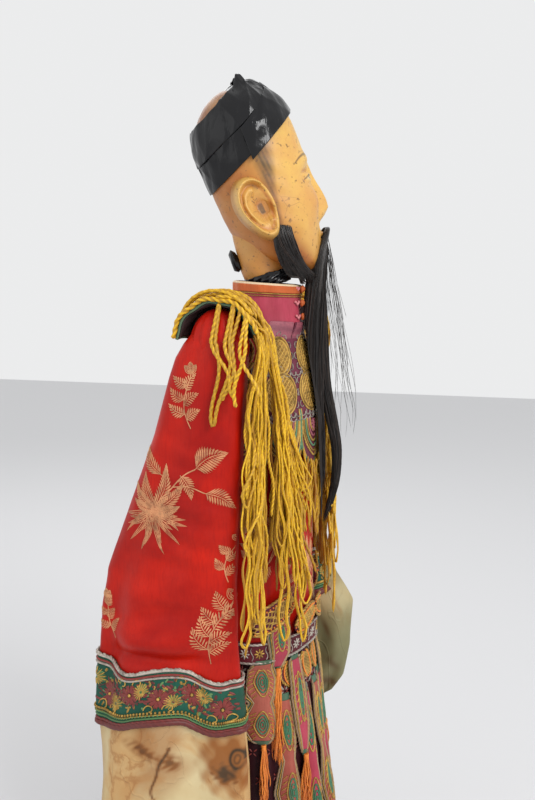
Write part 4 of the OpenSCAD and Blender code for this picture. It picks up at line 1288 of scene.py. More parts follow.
def lock(soup, path, count, spread, radius, r, reach=(0.8, 1.0), curl=1.0, sides=3, steps=26):
    """Hair strands round a path of (across, ahead, height) points. spread is [(t, across, ahead)]."""
    line = smooth_line(path, 60)
    t = np.linspace(0, 1, steps)
    end = r.uniform(*reach, count)[:, None]
    along = t[None] * end
    base = np.stack([np.interp(along, np.linspace(0, 1, 60), line[:, i]) for i in range(3)], -1)
    spread = np.asarray(spread, float)
    sx = np.interp(along, spread[:, 0], spread[:, 1])
    sf = np.interp(along, spread[:, 0], spread[:, 2])
    turn, far = r.uniform(0, TAU, count)[:, None], np.sqrt(r.uniform(0.02, 1, count))[:, None]
    drift = turn + (r.uniform(-0.9, 0.9, count)[:, None]) * along
    base[..., 0] += sx * far * np.cos(drift)
    base[..., 1] += sf * far * np.sin(drift)
    wave, phase = r.uniform(4, 9, count)[:, None], r.uniform(0, TAU, count)[:, None]
    base[..., 0] += curl * 0.5 * np.sin(wave * along * 2 + phase) * along
    base[..., 1] += curl * 0.6 * np.sin(wave * along * 1.7 + phase * 1.3) * along
    points = base[..., :1] * ACROSS + base[..., 1:2] * AHEAD + base[..., 2:3] * UP
    edge = chest_front(points[..., 0], points[..., 2])
    points[..., 1] = np.minimum(points[..., 1], edge)
    tubes(soup, points, r.uniform(0.75, 1.15, (count, 1)) * radius, sides, tone=r.uniform(0, 1, count) ** 2)


def make_beard():
    r = np.random.default_rng(5)
    fan = [(0, 8.5, 1.2), (0.12, 8.5, 4.4), (0.4, 6.5, 5.4), (0.75, 4.5, 3.5), (1, 1.2, 1.2)]
    soup = Soup()
    lock(soup, [(-2, 34.8, 460), (-4, 32.6, 449), (-6, 28.5, 436), (-8, 26.0, 418), (-9, 24.5, 396), (-9, 25, 362),
                (-8, 28, 328), (-7, 30, 300), (-7, 31, 282)], 620, fan, 0.24, r)
    inner = put(soup, "beard_inner_lock", "hair", "beard", "black_hair", "beard_locks")
    soup = Soup()
    lock(soup, [(2, 35.2, 459.5), (3, 35.8, 448), (3, 33.6, 434), (2, 33.8, 410), (1, 36, 372), (0, 41, 345),
                (-1, 44.5, 325), (-1, 44, 305), (-2, 40, 289), (-3, 36, 278)], 560,
         [(0, 8.0, 1.2), (0.12, 8.0, 3.4), (0.35, 5.5, 4.6), (0.6, 4.0, 3.6), (0.85, 3.0, 2.4), (1, 1.0, 1.0)],
         0.24, r)
    lock(soup, [(0, 34.8, 460), (-1, 34.4, 448), (-3, 32, 434), (-4, 31, 410), (-5, 30, 380), (-5, 31, 350),
                (-5, 33, 322), (-5, 34, 300)], 420,
         [(0, 8.5, 1.2), (0.15, 8, 4.0), (0.5, 5, 4.5), (0.8, 3.5, 4), (1, 2, 2)], 0.24, r, reach=(0.55, 1.0))
    put(soup, "beard_outer_lock", "hair", "beard", "black_hair")
    soup = Soup()
    lock(soup, [(0, 35.4, 459), (1, 37.5, 446), (2, 39.5, 425), (2, 44, 395), (1, 48, 360), (0, 50, 330)], 46,
         [(0, 8, 1), (0.3, 9, 7), (0.7, 12, 11), (1, 14, 14)], 0.11, r, reach=(0.3, 1.0), curl=4.0, steps=34)
    put(soup, "beard_stray_hairs", "hair", "beard", "black_hair")
    # moustache: two sweeps from under the nose, round the corners of the mouth
    soup = Soup()
    for s in (1, -1):
        lock(soup, [(1.5 * s, 37.0, 463.5), (6 * s, 36.2, 461.5), (11 * s, 33, 453), (13 * s, 29.5, 440),
                    (11 * s, 28.5, 425), (8 * s, 28, 405)], 240,
             [(0, 1.5, 1.2), (0.25, 2.2, 1.8), (0.6, 3.2, 2.6), (1, 3.0, 2.6)], 0.22, r, reach=(0.7, 1.0))
    put(soup, "moustache_hair", "hair", "beard", "black_hair")


def make_side_tufts():
    r = np.random.default_rng(11)
    soup = Soup()
    for s in (1, -1):
        lock(soup, [(25.5 * s, 3.5, 463), (26.5 * s, 5.5, 455), (24.5 * s, 10, 446), (19 * s, 17, 438.5),
                    (13.5 * s, 24, 433.5), (10 * s, 27, 427)], 370,
             [(0, 1.5, 6.0), (0.25, 2.2, 6.2), (0.6, 2.4, 4.6), (1, 1.4, 2.6)], 0.24, r, reach=(0.7, 1.0), curl=0.8)
        lock(soup, [(26 * s, 2.5, 461), (25.5 * s, 4.5, 451), (22 * s, 8.5, 441), (16 * s, 15, 433),
                    (11 * s, 20, 428)], 230,
             [(0, 1.2, 4.0), (0.3, 2.0, 5.0), (0.7, 2.4, 5.0), (1, 2.0, 4.0)], 0.22, r, reach=(0.5, 1.0), curl=1.4)
    put(soup, "side_tuft_hair", "hair", "head", "black_hair", "hair_tufts")


make_head_mesh()
make_neck()
make_ear(-1, "ear_right")
make_ear(1, "ear_left")
make_cap()
make_neck_tape()
make_beard()
make_side_tufts()

# ---------------------------------------------------------------- cloud collar on the chest

PETAL_TOP = 406
PETALS = [(u, 320 if abs(u) < 45 else 326, 15.4) for u in (0, 30, -30, 60, -60, 90, -90, 119.5)]


def petal_cloth(middle, bottom, half, lift=2.2):
    """s from -1 to 1 across, t from 0 at the neck to 1 at the tip, standing off the jacket."""
    def where(s, t):
        low = np.clip((t - 0.76) / 0.24, 0, 0.998)
        wide = np.interp(t, [0, 0.12, 0.38, 0.46, 0.54, 0.76], [13, 15.2, 15.8, 15.6, 15.2, 15.4]) / 15.4 * half
        wide = wide * np.sqrt(1 - low ** 2.2)
        u, v = middle + s * wide, PETAL_TOP - t * (PETAL_TOP - bottom)
        p = torso_where(u, v)
        return p + torso.normal(u, v) * (lift + 1.1 * (1 - s ** 2) * np.clip(t * 3, 0, 1))[..., None]
    return Cloth(where, flip=True)


def ellipse(s0, t0, rs, rt, n=48, turn=0.0, arc=TAU):
    a = np.linspace(0, arc, n) + turn
    return columns(s0 + rs * np.cos(a), t0 + rt * np.sin(a))


def make_cloud_collar():
    gilt, silver, green, floss, pink = soups(5)
    panels = []
    for k, (middle, bottom, half) in enumerate(PETALS):
        cloth = petal_cloth(middle, bottom, half)
        tall = PETAL_TOP - bottom
        across, down = 1 / half, 1 / tall
        piece = shell(f"cloud_petal_{k}", cloth, np.linspace(-1, 1, 44),
                      np.append(np.linspace(0, 0.76, 40), np.linspace(0.77, 1, 26)),
                      1.1, MAT["plum"])
        finish_piece(piece, "torso", "gold_embroidery", *(["cloud_collar"] if k == 0 else []))
        panels.append(piece)
        # pink silk at the neck, with a gilt edge
        s = np.linspace(-0.97, 0.97, 30)
        for t in np.linspace(0.01, 0.11, 12):
            stitch(pink, cloth, columns(s, t), 1.6, 0.28, lift=0.15, tone=0.5 + 0.2 * math.sin(t * 90))
        # two gold lattice roundels, one above the other
        for t0, r in ((0.235, 9.2), (0.485, 10.6)):
            for q in np.linspace(0.08, 0.98, 10):
                stitch(gilt, cloth, ellipse(0, t0, r * q * across, r * q * down, 40), 1.15, 0.25, lift=0.25, tone=0.42)
            for q in np.arange(-r, r, 2.5):
                for way in (1, -1):
                    span = math.sqrt(max(r * r - q * q, 0.1)) * 0.96
                    v = np.linspace(-span, span, 14)
                    x, y = (q + way * v) * 0.7071, (v - way * q) * 0.7071
                    stitch(gilt, cloth, columns(x * across, t0 + y * down), 0.75, 0.5, lift=0.4, tone=0.8)
            for q, tone in ((1.0, 0.95), (1.1, 0.3), (1.19, 0.9)):
                stitch(gilt, cloth, ellipse(0, t0, r * q * across, r * q * down, 60), 0.95, 0.6, lift=0.35, tone=tone)
            for a in np.arange(0, TAU, TAU / 12):
                c = ellipse(r * 1.33 * across * math.cos(a), t0 + r * 1.33 * down * math.sin(a),
                            1.9 * across, 1.9 * down, 14, a - 1.7, 3.4)
                stitch(silver, cloth, c, 0.6, 0.5, lift=0.3, tone=0.3)
        # silver scallops between roundel and lobe
        for t0, n in ((0.345, 5), (0.625, 6), (0.65, 6)):
            for s0 in np.linspace(-0.8, 0.8, n):
                stitch(silver, cloth, ellipse(s0, t0, 0.17, 2.2 * down, 14, 0, math.pi), 0.8, 0.55, lift=0.35,
                       tone=0.45)
        # lobe: rows of couched thread that follow its edge
        for q, soup, tone in ((0.90, gilt, 0.9), (0.80, gilt, 0.45), (0.69, green, 0.7), (0.58, gilt, 0.95),
                              (0.47, pink, 0.8), (0.36, gilt, 0.7)):
            low = np.linspace(math.pi * 0.02, math.pi * 0.98, 50)
            line = columns(q * np.cos(low) * 0.98, 0.66 + (0.325 * q) * np.sin(low))
            stitch(soup, cloth, line, 1.15, 0.6, lift=0.3, tone=tone)
        for a in np.linspace(0, TAU, 7)[:-1]:
            petal = ellipse(0.16 * math.cos(a), 0.735 + 2.4 * down * math.sin(a), 0.10, 1.6 * down, 14)
            stitch(floss, cloth, petal, 0.7, 0.5, lift=0.35, tone=0.8)
        # green piping round the petal, with a gilt line inside it
        t = np.concatenate([np.linspace(0.60, 0.76, 16), 0.76 + 0.237 * np.sin(np.linspace(0, math.pi / 2, 30))[1:]])
        for side in (-1, 1):
            edge = cloth.at(side * 0.99, t, 0.1)
            cord(green, edge, 1.15, 0.75, 1.2, 0.18)
            stitch(gilt, cloth, columns(side * 0.9, t), 0.9, 0.55, lift=0.3, tone=0.9)
    made = [put(soup, name, mat, "torso", slot_name, *nodes) for soup, name, mat, slot_name, nodes in (
        (gilt, "cloud_gilt_thread", "gold", "gold_embroidery", ()),
        (silver, "cloud_silver_thread", "silver", "gold_embroidery", ()),
        (green, "cloud_green_piping", "sage_thread", "green_piping", ("cloud_collar_piping",)),
        (floss, "cloud_floss", "plum_thread", "gold_embroidery", ()),
        (pink, "cloud_pink_floss", "plum_thread", "pink_silk", ()))]
    return panels, made


# ---------------------------------------------------------------- yellow cords


def yoke_fringe():
    """Plied cords hanging from the edge of the cloud collar's lobes."""
    r = np.random.default_rng(31)
    soup = Soup()
    for middle, bottom, half in PETALS:
        for s in np.linspace(-0.9, 0.9, 15):
            top = bottom + 20 * (1 - math.sqrt(1 - s * s * 0.9))
            z = np.linspace(top + 1, top - r.uniform(34, 50), 24)
            u = middle + s * half + np.cumsum(r.normal(0, 0.28, 24)) + r.uniform(-3, 3) * np.linspace(0, 1, 24) ** 2
            lift = 2.8 + r.uniform(0, 2.2) + 0.8 * np.sin(z * 0.2 + r.uniform(0, 6))
            cord(soup, torso.at(u, z) + torso.normal(u, z) * lift[:, None], r.uniform(0.6, 0.85),
                 r.uniform(0.2, 0.95), 1.2, 0.35)
    return put(soup, "yoke_fringe_cords", "yellow", "torso", "yellow_cord", "yoke_fringe")


ARCH_Y, ARCH_Z, ARCH_RADIUS = 6, 396, 24      # the epaulette's arch over the sleeve's head


# the line across the front of the shoulder and chest that the loose cords hang before: (x, y)
CURTAIN = smooth_line([(-80, -4), (-74, -9.5), (-66, -12), (-58, -14), (-50, -17), (-42, -22), (-32, -28),
                       (-20, -33), (-6, -36), (6, -36.5)], 200)
CURTAIN_RUN = np.append(0, np.cumsum(np.hypot(*np.diff(CURTAIN, axis=0).T)))


def curtain(s, off, side):
    x, y = np.interp(s, CURTAIN_RUN, CURTAIN[:, 0]), np.interp(s, CURTAIN_RUN, CURTAIN[:, 1])
    e = 0.5
    dx = np.interp(s + e, CURTAIN_RUN, CURTAIN[:, 0]) - np.interp(s - e, CURTAIN_RUN, CURTAIN[:, 0])
    dy = np.interp(s + e, CURTAIN_RUN, CURTAIN[:, 1]) - np.interp(s - e, CURTAIN_RUN, CURTAIN[:, 1])
    n = np.stack([dy, -dx], -1)
    n = n / np.maximum(np.linalg.norm(n, axis=-1, keepdims=True), 1e-6)
    n = np.where(n[..., 1:] > 0, -n, n)
    x, y = x + n[..., 0] * off, y + n[..., 1] * off
    return np.stack([np.where(side < 0, x, -x), y], -1)


def arch(side, across, angle, out=0.0):
    """A point over the shoulder: angle in degrees from the top, + to the front."""
    a = np.radians(angle)
    r = ARCH_RADIUS + out
    return np.stack([side * (ARM_X + across) + 0 * a, ARCH_Y - r * np.sin(a), ARCH_Z + r * np.cos(a)], -1)


def shoulder_cords(side, seed):
    r = np.random.default_rng(seed)
    soup, arm_soup = soups(2)

    def hang(s0, s1, z0, z1, off, n, sway):
        t = np.linspace(0, 1, n)
        z = z0 + (z1 - z0) * t
        rate, phase = r.uniform(0.035, 0.075), r.uniform(0, TAU)
        s = s0 + (s1 - s0) * t ** 1.2 + sway * np.sin(rate * (z0 - z) + phase) * np.sqrt(t)
        s = s + 1.1 * np.sin(0.19 * z + phase * 2)
        o = off + 1.3 * np.sin(0.05 * z + phase * 3) + 0.6 * np.sin(0.13 * z + phase)
        xy = curtain(np.clip(s, 4, CURTAIN_RUN[-1] - 1), np.maximum(o, 0.4), side)
        return np.concatenate([xy, z[:, None]], 1)

    # cords from the front of the arch down over the chest; most come in pairs joined by a loop
    for k in range(64):
        over_arm = k % 5 < 2
        across = r.uniform(-5, 8) if over_arm else r.uniform(-11, -3)
        start = arch(side, across, r.uniform(35, 88), r.uniform(0.5, 2.5))
        knee = arch(side, across + r.uniform(-3, 3), r.uniform(82, 104), r.uniform(1.5, 4))
        low_s, high_s = (4, 29) if over_arm else (36, 80 if k % 4 == 1 else 60)
        shift = r.uniform(-3, 5) if over_arm else r.uniform(8, 16)
        s0 = np.interp(-(ARM_X + across), CURTAIN[:, 0], CURTAIN_RUN) + shift
        s0 = np.clip(s0, low_s, high_s)
        s1 = np.clip(s0 + (r.normal(2, 8) if over_arm else abs(r.normal(0, 19))), low_s, high_s)
        end = r.uniform(216, 262) if k % 3 == 0 else r.uniform(248, 318)
        off = r.uniform(0.6, 6.5)
        down = hang(s0, s1, 372 - r.uniform(0, 8), end, off, 44, r.uniform(1.0, 3.5))
        path = np.concatenate([smooth_line(np.stack([start, knee, down[0], down[2]]), 26)[:-1], down[2:]])
        if k % 2 == 0:
            s2 = np.clip(s1 + r.uniform(4, 9) * r.choice([-1, 1]), low_s, high_s)
            up = hang(np.clip(s0 + r.uniform(-6, 6), low_s, high_s), s2, 368 - r.uniform(0, 10),
                      end + r.uniform(-3, 3), off + r.uniform(-2, 2), 44, r.uniform(1.0, 3.5))
            low = (path[-1] + up[-1]) / 2 - [0, 0, r.uniform(5, 9)]
            bend = smooth_line(np.stack([path[-2], path[-1], low, up[-1], up[-2]]), 22)
            top = arch(side, across + r.uniform(-4, 3), r.uniform(70, 95), r.uniform(1, 3.5))
            path = np.concatenate([path[:-2], bend, up[-3:2:-1], top[None]])
        path = resample(path, 120 if k % 2 == 0 else 80)
        # painted shade: cords nearer the body get a darker tone
        tone = np.clip(0.12 + off / 8 + r.uniform(-0.2, 0.5), 0, 1)
        cord(arm_soup if over_arm else soup, path, r.uniform(0.72, 1.02), tone, 1.05, 0.38)
    # bights over the arch and the head of the sleeve
    for k in range(11):
        across = r.uniform(-8, 9)
        a0, a1 = r.uniform(-78, 10), r.uniform(25, 85)
        t = np.linspace(0, 1, 26)
        rise = 1.6 + 4.0 * np.sin(math.pi * t) * r.uniform(0.3, 1)
        line = arch(side, across + 3.0 * np.sin(t * 3 + k), a0 + (a1 - a0) * t, rise)
        cord(soup, line, r.uniform(1.05, 1.25), r.uniform(0.5, 1.0), 0.85, 0.3)
    # a few that fall over the outside of the sleeve
    for k in range(5):
        y0 = r.uniform(-12, 9)
        y1 = y0 + r.uniform(-12, 8)
        z1 = r.uniform(344, 374)
        t = np.linspace(0, 1, 20)
        y, z = y0 + (y1 - y0) * t + 2.5 * np.sin(t * 5 + k), 399 + (z1 - 399) * t
        x = np.interp(z, [340, 377, 392, 401, 410], [-83.0, -82.5, -81.5, -79, -76]) * -side
        top = arch(side, 8, np.degrees(np.arcsin(np.clip((ARCH_Y - y0) / ARCH_RADIUS, -0.95, 0.95))), 1.5)
        path = np.concatenate([top[None], columns(x, y, z)])
        if k % 2:
            back = path[::-1].copy()
            back[:, 1] += 6 * np.linspace(0.4, 1.4, len(back))
            path = np.concatenate([path, [(path[-1] + back[0]) / 2 - [0, 0, 4]], back])
        cord(arm_soup, smooth_line(path, 64), r.uniform(1.05, 1.25), r.uniform(0.5, 1.0), 0.85, 0.3)
    name = SIDE_NAME[side]
    obj = soup.build("shoulder_cords_" + name, MAT["yellow"])
    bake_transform(obj)
    if side < 0:
        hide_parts("side_fringe")
    # cords that lie on the sleeve, built as a piece of their own
    arm = arm_soup.build("arm_cords_" + name, MAT["yellow"])
    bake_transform(arm)
    return obj


def make_epaulette(side):
    name = SIDE_NAME[side]
    cloth = Cloth(lambda u, v: arch(side, u, v, -0.5 + 0.5 * np.sin(v * 0.15 + u * 0.4)), flip=side > 0)
    angles = np.linspace(-84, 76, 90)
    band = shell("epaulette_braid_" + name, cloth, np.linspace(-8.5, 8.5, 26), angles, 1.4, MAT["sage"])
    finish_piece(band, "shoulder_" + name, "green_piping", "epaulette_" + name)
    lining_and_shade = shell("epaulette_lining_" + name, cloth, np.linspace(-8, 8, 10), angles[2:-2], 0.5, MAT["lining_and_shade"],
                   lift=-1.7)
    finish_piece(lining_and_shade, "shoulder_" + name, "green_piping")
    # dark web between the arch and the body: a dark sheet standing in for the shade in that gap
    a = np.radians(np.linspace(-88, 80, 50))
    rings = np.stack([columns(side * 57.2, ARCH_Y - r * np.sin(a), ARCH_Z + r * np.cos(a))
                      for r in np.linspace(9, 22.6, 6)])
    web = Soup().add(rings, grid_quads(6, 50))
    web.add(rings + [side * 0.7, 0, 0], grid_quads(6, 50)[:, ::-1])
    put(web, "epaulette_web_" + name, "lining_and_shade", "shoulder_" + name, "green_piping")
    cords, orange = soups(2)
    for x, lift, radius in ((-9.2, 1.2, 1.45), (9.2, 1.2, 1.45), (-6.9, 0.9, 0.95), (6.9, 0.9, 0.95)):
        cord(cords, cloth.at(x, angles, lift), radius, 0.85, 0.7, 0.35, 10)
    for x in (-5.3, 5.3):
        stitch(orange, cloth, columns(x, angles), 1.1, 0.6, lift=0.2, tone=0.8)
    for x in np.arange(-3.6, 3.7, 1.2):
        wave = x + 0.5 * np.sin(angles * 0.55 + x)
        stitch(orange if abs(x) < 0.1 else cords, cloth, columns(wave, angles), 0.55, 0.35, lift=0.2,
               tone=0.55 if abs(x) > 0.1 else 0.8)
    put(cords, "epaulette_cords_" + name, "yellow", "shoulder_" + name, "yellow_cord")
    put(orange, "epaulette_lines_" + name, "orange", "shoulder_" + name, "orange_thread")


def make_shoulder_cloth(side):
    """Red silk over the end of the shoulder board, between the jacket and the sleeve's head."""
    def where(u, v):
        a = np.radians(v)
        sag = 1.0 * np.sin(u * 0.5 + 1) + 0.5 * np.sin(v * 0.12 + u * 0.3)
        wide = np.interp(u, [30, 40, 50, 57], [17, 15.5, 14.5, 14])
        return np.stack([side * (u + 0 * v), 4 - (wide + sag * 0.4) * np.sin(a),
                         391 + (12.6 + sag * 0.3) * np.cos(a)], -1)
    cloth = Cloth(where, flip=side > 0)
    name = SIDE_NAME[side]
    body = shell("shoulder_silk_" + name, cloth, np.linspace(31, 56.6, 24), np.linspace(-118, 118, 90), 0.9, MAT["red"])
    finish_piece(body, "torso", "red_silk")
    lines = Soup()
    v = np.linspace(-117, 117, 90)
    cord(lines, cloth.at(56.4, v, 0.1), 0.9, 0.8, 1.1, 0.3)
    for x in (52.5, 50.5):
        stitch(lines, cloth, columns(x, v), 0.8, 0.6, lift=0.2, tone=0.8)
    edge = put(lines, "shoulder_silk_piping_" + name, "gold", "torso", "gold_embroidery")
    return body, edge


def make_collar_knots():
    knots, loops = soups(2)
    for z, a in ((427, 0.02), (418, -0.03), (409, 0.03)):
        base = collar_cloth.at(np.array([a * 20]), np.array([z]), 1.0)[0]
        n, m = 18, 12
        aa, tt = np.meshgrid(np.linspace(0, TAU, n, endpoint=False), np.linspace(0, 1, m))
        r = 2.2 * np.sin(math.pi * np.clip(tt, 0.03, 0.97)) ** 0.7 * (1 + 0.12 * np.sin(3 * aa + 4 * tt))
        p = np.stack([base[0] + r * np.cos(aa), base[1] - 3.6 * tt + 0.4, base[2] + r * np.sin(aa)], -1)
        knots.add(p, grid_quads(m, n, True), 0.7)
        for s in (-1, 1):
            t = np.linspace(0, 1, 20)
            u = a * 20 + s * (1.5 + 5.5 * t)
            line = collar_cloth.at(u, z + 0.9 * np.sin(t * 9), 0.8)
            tubes(loops, line, 0.75, 6, tone=[0.8], lobes=2, twist=1.2)
    put(knots, "collar_knot_buttons", "orange_band", "torso", "orange_band", "collar_knots")
    put(loops, "collar_knot_loops", "pink_thread", "torso", "pink_silk")


MAT["sage_thread"] = silk_thread("sage_thread", (0.14, 0.30, 0.15), (0.04, 0.11, 0.05))
MAT["plum_thread"] = silk_thread("plum_thread", (0.40, 0.10, 0.13), (0.14, 0.03, 0.05))
cloud_panels, cloud_threads = make_cloud_collar()
yoke_fringe_obj = yoke_fringe()
make_epaulette(-1)
make_epaulette(1)
shoulder_cords(-1, 41)
shoulder_cords(1, 43)
make_collar_knots()
shoulder_silks = [make_shoulder_cloth(-1), make_shoulder_cloth(1)]

# ---------------------------------------------------------------- brocade and embroidery


def lines_of(parts, count):
    return np.stack([resample(p, count) for p in parts])


def turned(points, centre, angle, mirror=1):
    """Local (along, across) points turned by angle (0 is up) and moved to centre, as (u, v)."""
    p = np.asarray(points, float)
    a = math.radians(angle)
    along, across = p[..., 0], p[..., 1] * mirror
    return np.stack([centre[0] + along * math.sin(a) + across * math.cos(a),
                     centre[1] + along * math.cos(a) - across * math.sin(a)], -1)


def brocade_leaf(soup, cloth, root, angle, length, width, ribs=11, bend=0.12, thread=0.46, tone=0.75):
    """A woven leaf: midrib, toothed edges and slanting ribs."""
    t = np.linspace(0, 1, 30)
    middle = bend * length * np.sin(math.pi * t)
    half = width / 2 * np.sin(math.pi * np.clip(t, 0, 1) ** 0.75)
    spine = columns(t * length, middle)
    stitch(soup, cloth, turned(spine, root, angle), thread, 0.22, lift=0.12, tone=tone, section=THREAD)
    parts = []
    for side in (-1, 1):
        for k in range(ribs):
            t0 = 0.04 + 0.84 * k / ribs
            t1 = min(t0 + 0.17, 1)
            for q in (0, 0.35):
                s = np.linspace(0.05 + q * 0.3, 1 - q * 0.45, 8)
                tt = t0 + q * 0.07 + (t1 - t0) * s ** 1.3
                edge = np.interp(tt, t, half) * s
                parts.append(turned(columns(tt * length, np.interp(tt, t, middle) + side * edge), root, angle))
    stitch(soup, cloth, lines_of(parts, 8), thread, 0.25, lift=0.12, tone=tone, section=THREAD, taper=True)


def brocade_petal(soup, cloth, root, angle, length, width, threads=5, bend=0.0, thread=0.42, tone=0.8):
    t = np.linspace(0, 1, 16)
    parts = []
    for q in np.linspace(-1, 1, threads):
        parts.append(turned(columns(t * length, bend * length * t ** 2
                                      + q * width / 2 * np.sin(math.pi * t ** 0.8) ** 0.8), root, angle))
    stitch(soup, cloth, lines_of(parts, 16), thread, 0.26, lift=0.12, tone=tone, section=THREAD, taper=True)


def chrysanthemum(soup, cloth, hub, size=1.0, seed=1, mirror=1):
    r = np.random.default_rng(seed)
    # broad ribbed petals above, fine hanging petals below
    for a, length, width in ((-78, 17, 7.5), (-48, 25, 8.5), (-16, 28, 9.5), (16, 22, 8), (44, 20, 7.5), (72, 15, 6.5)):
        brocade_leaf(soup, cloth, hub, mirror * a, size * length, size * width, 12, bend=0.1 * np.sign(a) * mirror,
                     tone=r.uniform(0.6, 0.95))
    for k in range(26):
        a = 95 + 170 * k / 25 + r.uniform(-4, 4)
        brocade_petal(soup, cloth, (hub[0] + r.uniform(-2, 2), hub[1] - 1), mirror * a,
                      size * r.uniform(11, 25), size * 2.2, 3, bend=0.45 * r.uniform(-1, 1), tone=r.uniform(0.6, 0.95))
    for q in (0.8, 1.6, 2.4):
        stitch(soup, cloth, ellipse(hub[0], hub[1], q * size, q * size, 20), 0.5, 0.3, lift=0.12, tone=0.7)


def brocade_spray(soup, cloth, foot, size, angle=0, seed=3, leaves=6):
    r = np.random.default_rng(seed)
    t = np.linspace(0, 1, 20)
    stem = turned(columns(t * size, 0.12 * size * np.sin(t * 4)), foot, angle)
    stitch(soup, cloth, stem, 0.6, 0.22, lift=0.12, tone=0.7, section=THREAD)
    for k in range(leaves):
        at = stem[int(3 + 15 * k / leaves)]
        side = 1 if k % 2 else -1
        brocade_leaf(soup, cloth, at, angle + side * r.uniform(38, 62), size * r.uniform(0.32, 0.42), size * 0.24, 7,
                     tone=r.uniform(0.6, 0.9))
    brocade_petal(soup, cloth, stem[-1], angle, size * 0.22, size * 0.13, 5, tone=0.9)
    for da in (-38, 38):
        brocade_petal(soup, cloth, stem[-1], angle + da, size * 0.2, size * 0.11, 5, tone=0.85)


def sleeve_brocade(cloth, hub):
    """The large flower of a sleeve, with the leaves on its stems."""
    soup = Soup()
    y, z = hub
    chrysanthemum(soup, cloth, hub, 1.0, 4)
    for dy, dz, angle, length, width, ribs in ((17, 21, -155, 15, 9, 9), (26, 25, -62, 20, 15, 12),
                                               (31, 12, -122, 18, 10, 10), (5, 20, 35, 22, 9, 11)):
        brocade_leaf(soup, cloth, (y - dy, z + dz), angle, length, width, ribs)
    for points in ([(y - 1, z + 3), (y - 10, z + 12), (y - 19, z + 21), (y - 26, z + 25)],
                   [(y - 12, z + 14), (y - 22, z + 15), (y - 31, z + 12)]):
        stitch(soup, cloth, smooth_line(points, 26), 0.7, 0.25, lift=0.12, tone=0.7, section=THREAD)
    return soup


brocade_up, brocade_low = Soup(), sleeve_brocade(face_right, (41.7, 302.4))
for soup, foot, size, angle, seed, leaves in (
        (brocade_low, (9, 213), 40, -14, 6, 8), (brocade_low, (70, 222), 24, 20, 8, 5),
        (brocade_up, (18, 350), 30, 6, 9, 6), (brocade_low, (-1, 262), 24, -6, 12, 4)):
    brocade_spray(soup, face_right, foot, size, angle, seed, leaves)
face_right_in = Cloth(on_face(where_r, col_r, inner=True))
brocade_in = sleeve_brocade(face_right_in, (41.7, 290))
brocade_spray(brocade_in, face_right_in, (12, 216), 34, -10, 16, 6)
left_face = Cloth(lambda y, v: left_cloth.where(90 + y * 2.3, 143 - v))
brocade_left = Soup()
chrysanthemum(brocade_left, left_face, (2, 52), 0.82, 7)
brocade_leaf(brocade_left, left_face, (-8, 72), -40, 17, 11, 10)
brocade_leaf(brocade_left, left_face, (8, 74), 35, 16, 10, 10)
brocade_spray(brocade_left, left_face, (-4, 96), 30, 10, 18, 6)
brocade_spray(brocade_left, left_face, (3, 4), 22, -10, 19, 5)
brocade_right_obj, brocade_top_obj, brocade_inner_obj, brocade_left_obj = [
    over_elbow(soup.build(f"sleeve_{name}", MAT["pale_gold"]), name.split("_")[0])
    for soup, name in ((brocade_low, "right_brocade_low"), (brocade_up, "right_brocade_top"),
                       (brocade_in, "right_brocade_inner"), (brocade_left, "left_brocade"))]


def ray(x, y, s, angle, wide=1.0, tall=1.0):
    """A straight line from (x, y) at the distances s, with the cloth's own units to the millimetre."""
    return columns(x + s * math.cos(angle) / wide, y + s * math.sin(angle) * tall)


def beads(soup, centres, radius, tone=None):
    """Small round beads."""
    n, m = 8, 6
    a, b = np.meshgrid(np.linspace(0, TAU, n, endpoint=False), np.linspace(0.12, math.pi - 0.12, m))
    ball = np.stack([np.sin(b) * np.cos(a), np.sin(b) * np.sin(a), np.cos(b)], -1).reshape(-1, 3)
    quads = grid_quads(m, n, True)[:, ::-1]
    centres = np.asarray(centres, float).reshape(-1, 3)
    tone = rng.uniform(0.4, 1, len(centres)) if tone is None else tone
    for c, k in zip(centres, np.broadcast_to(tone, (len(centres),))):
        soup.add(c + ball * radius, quads, k)


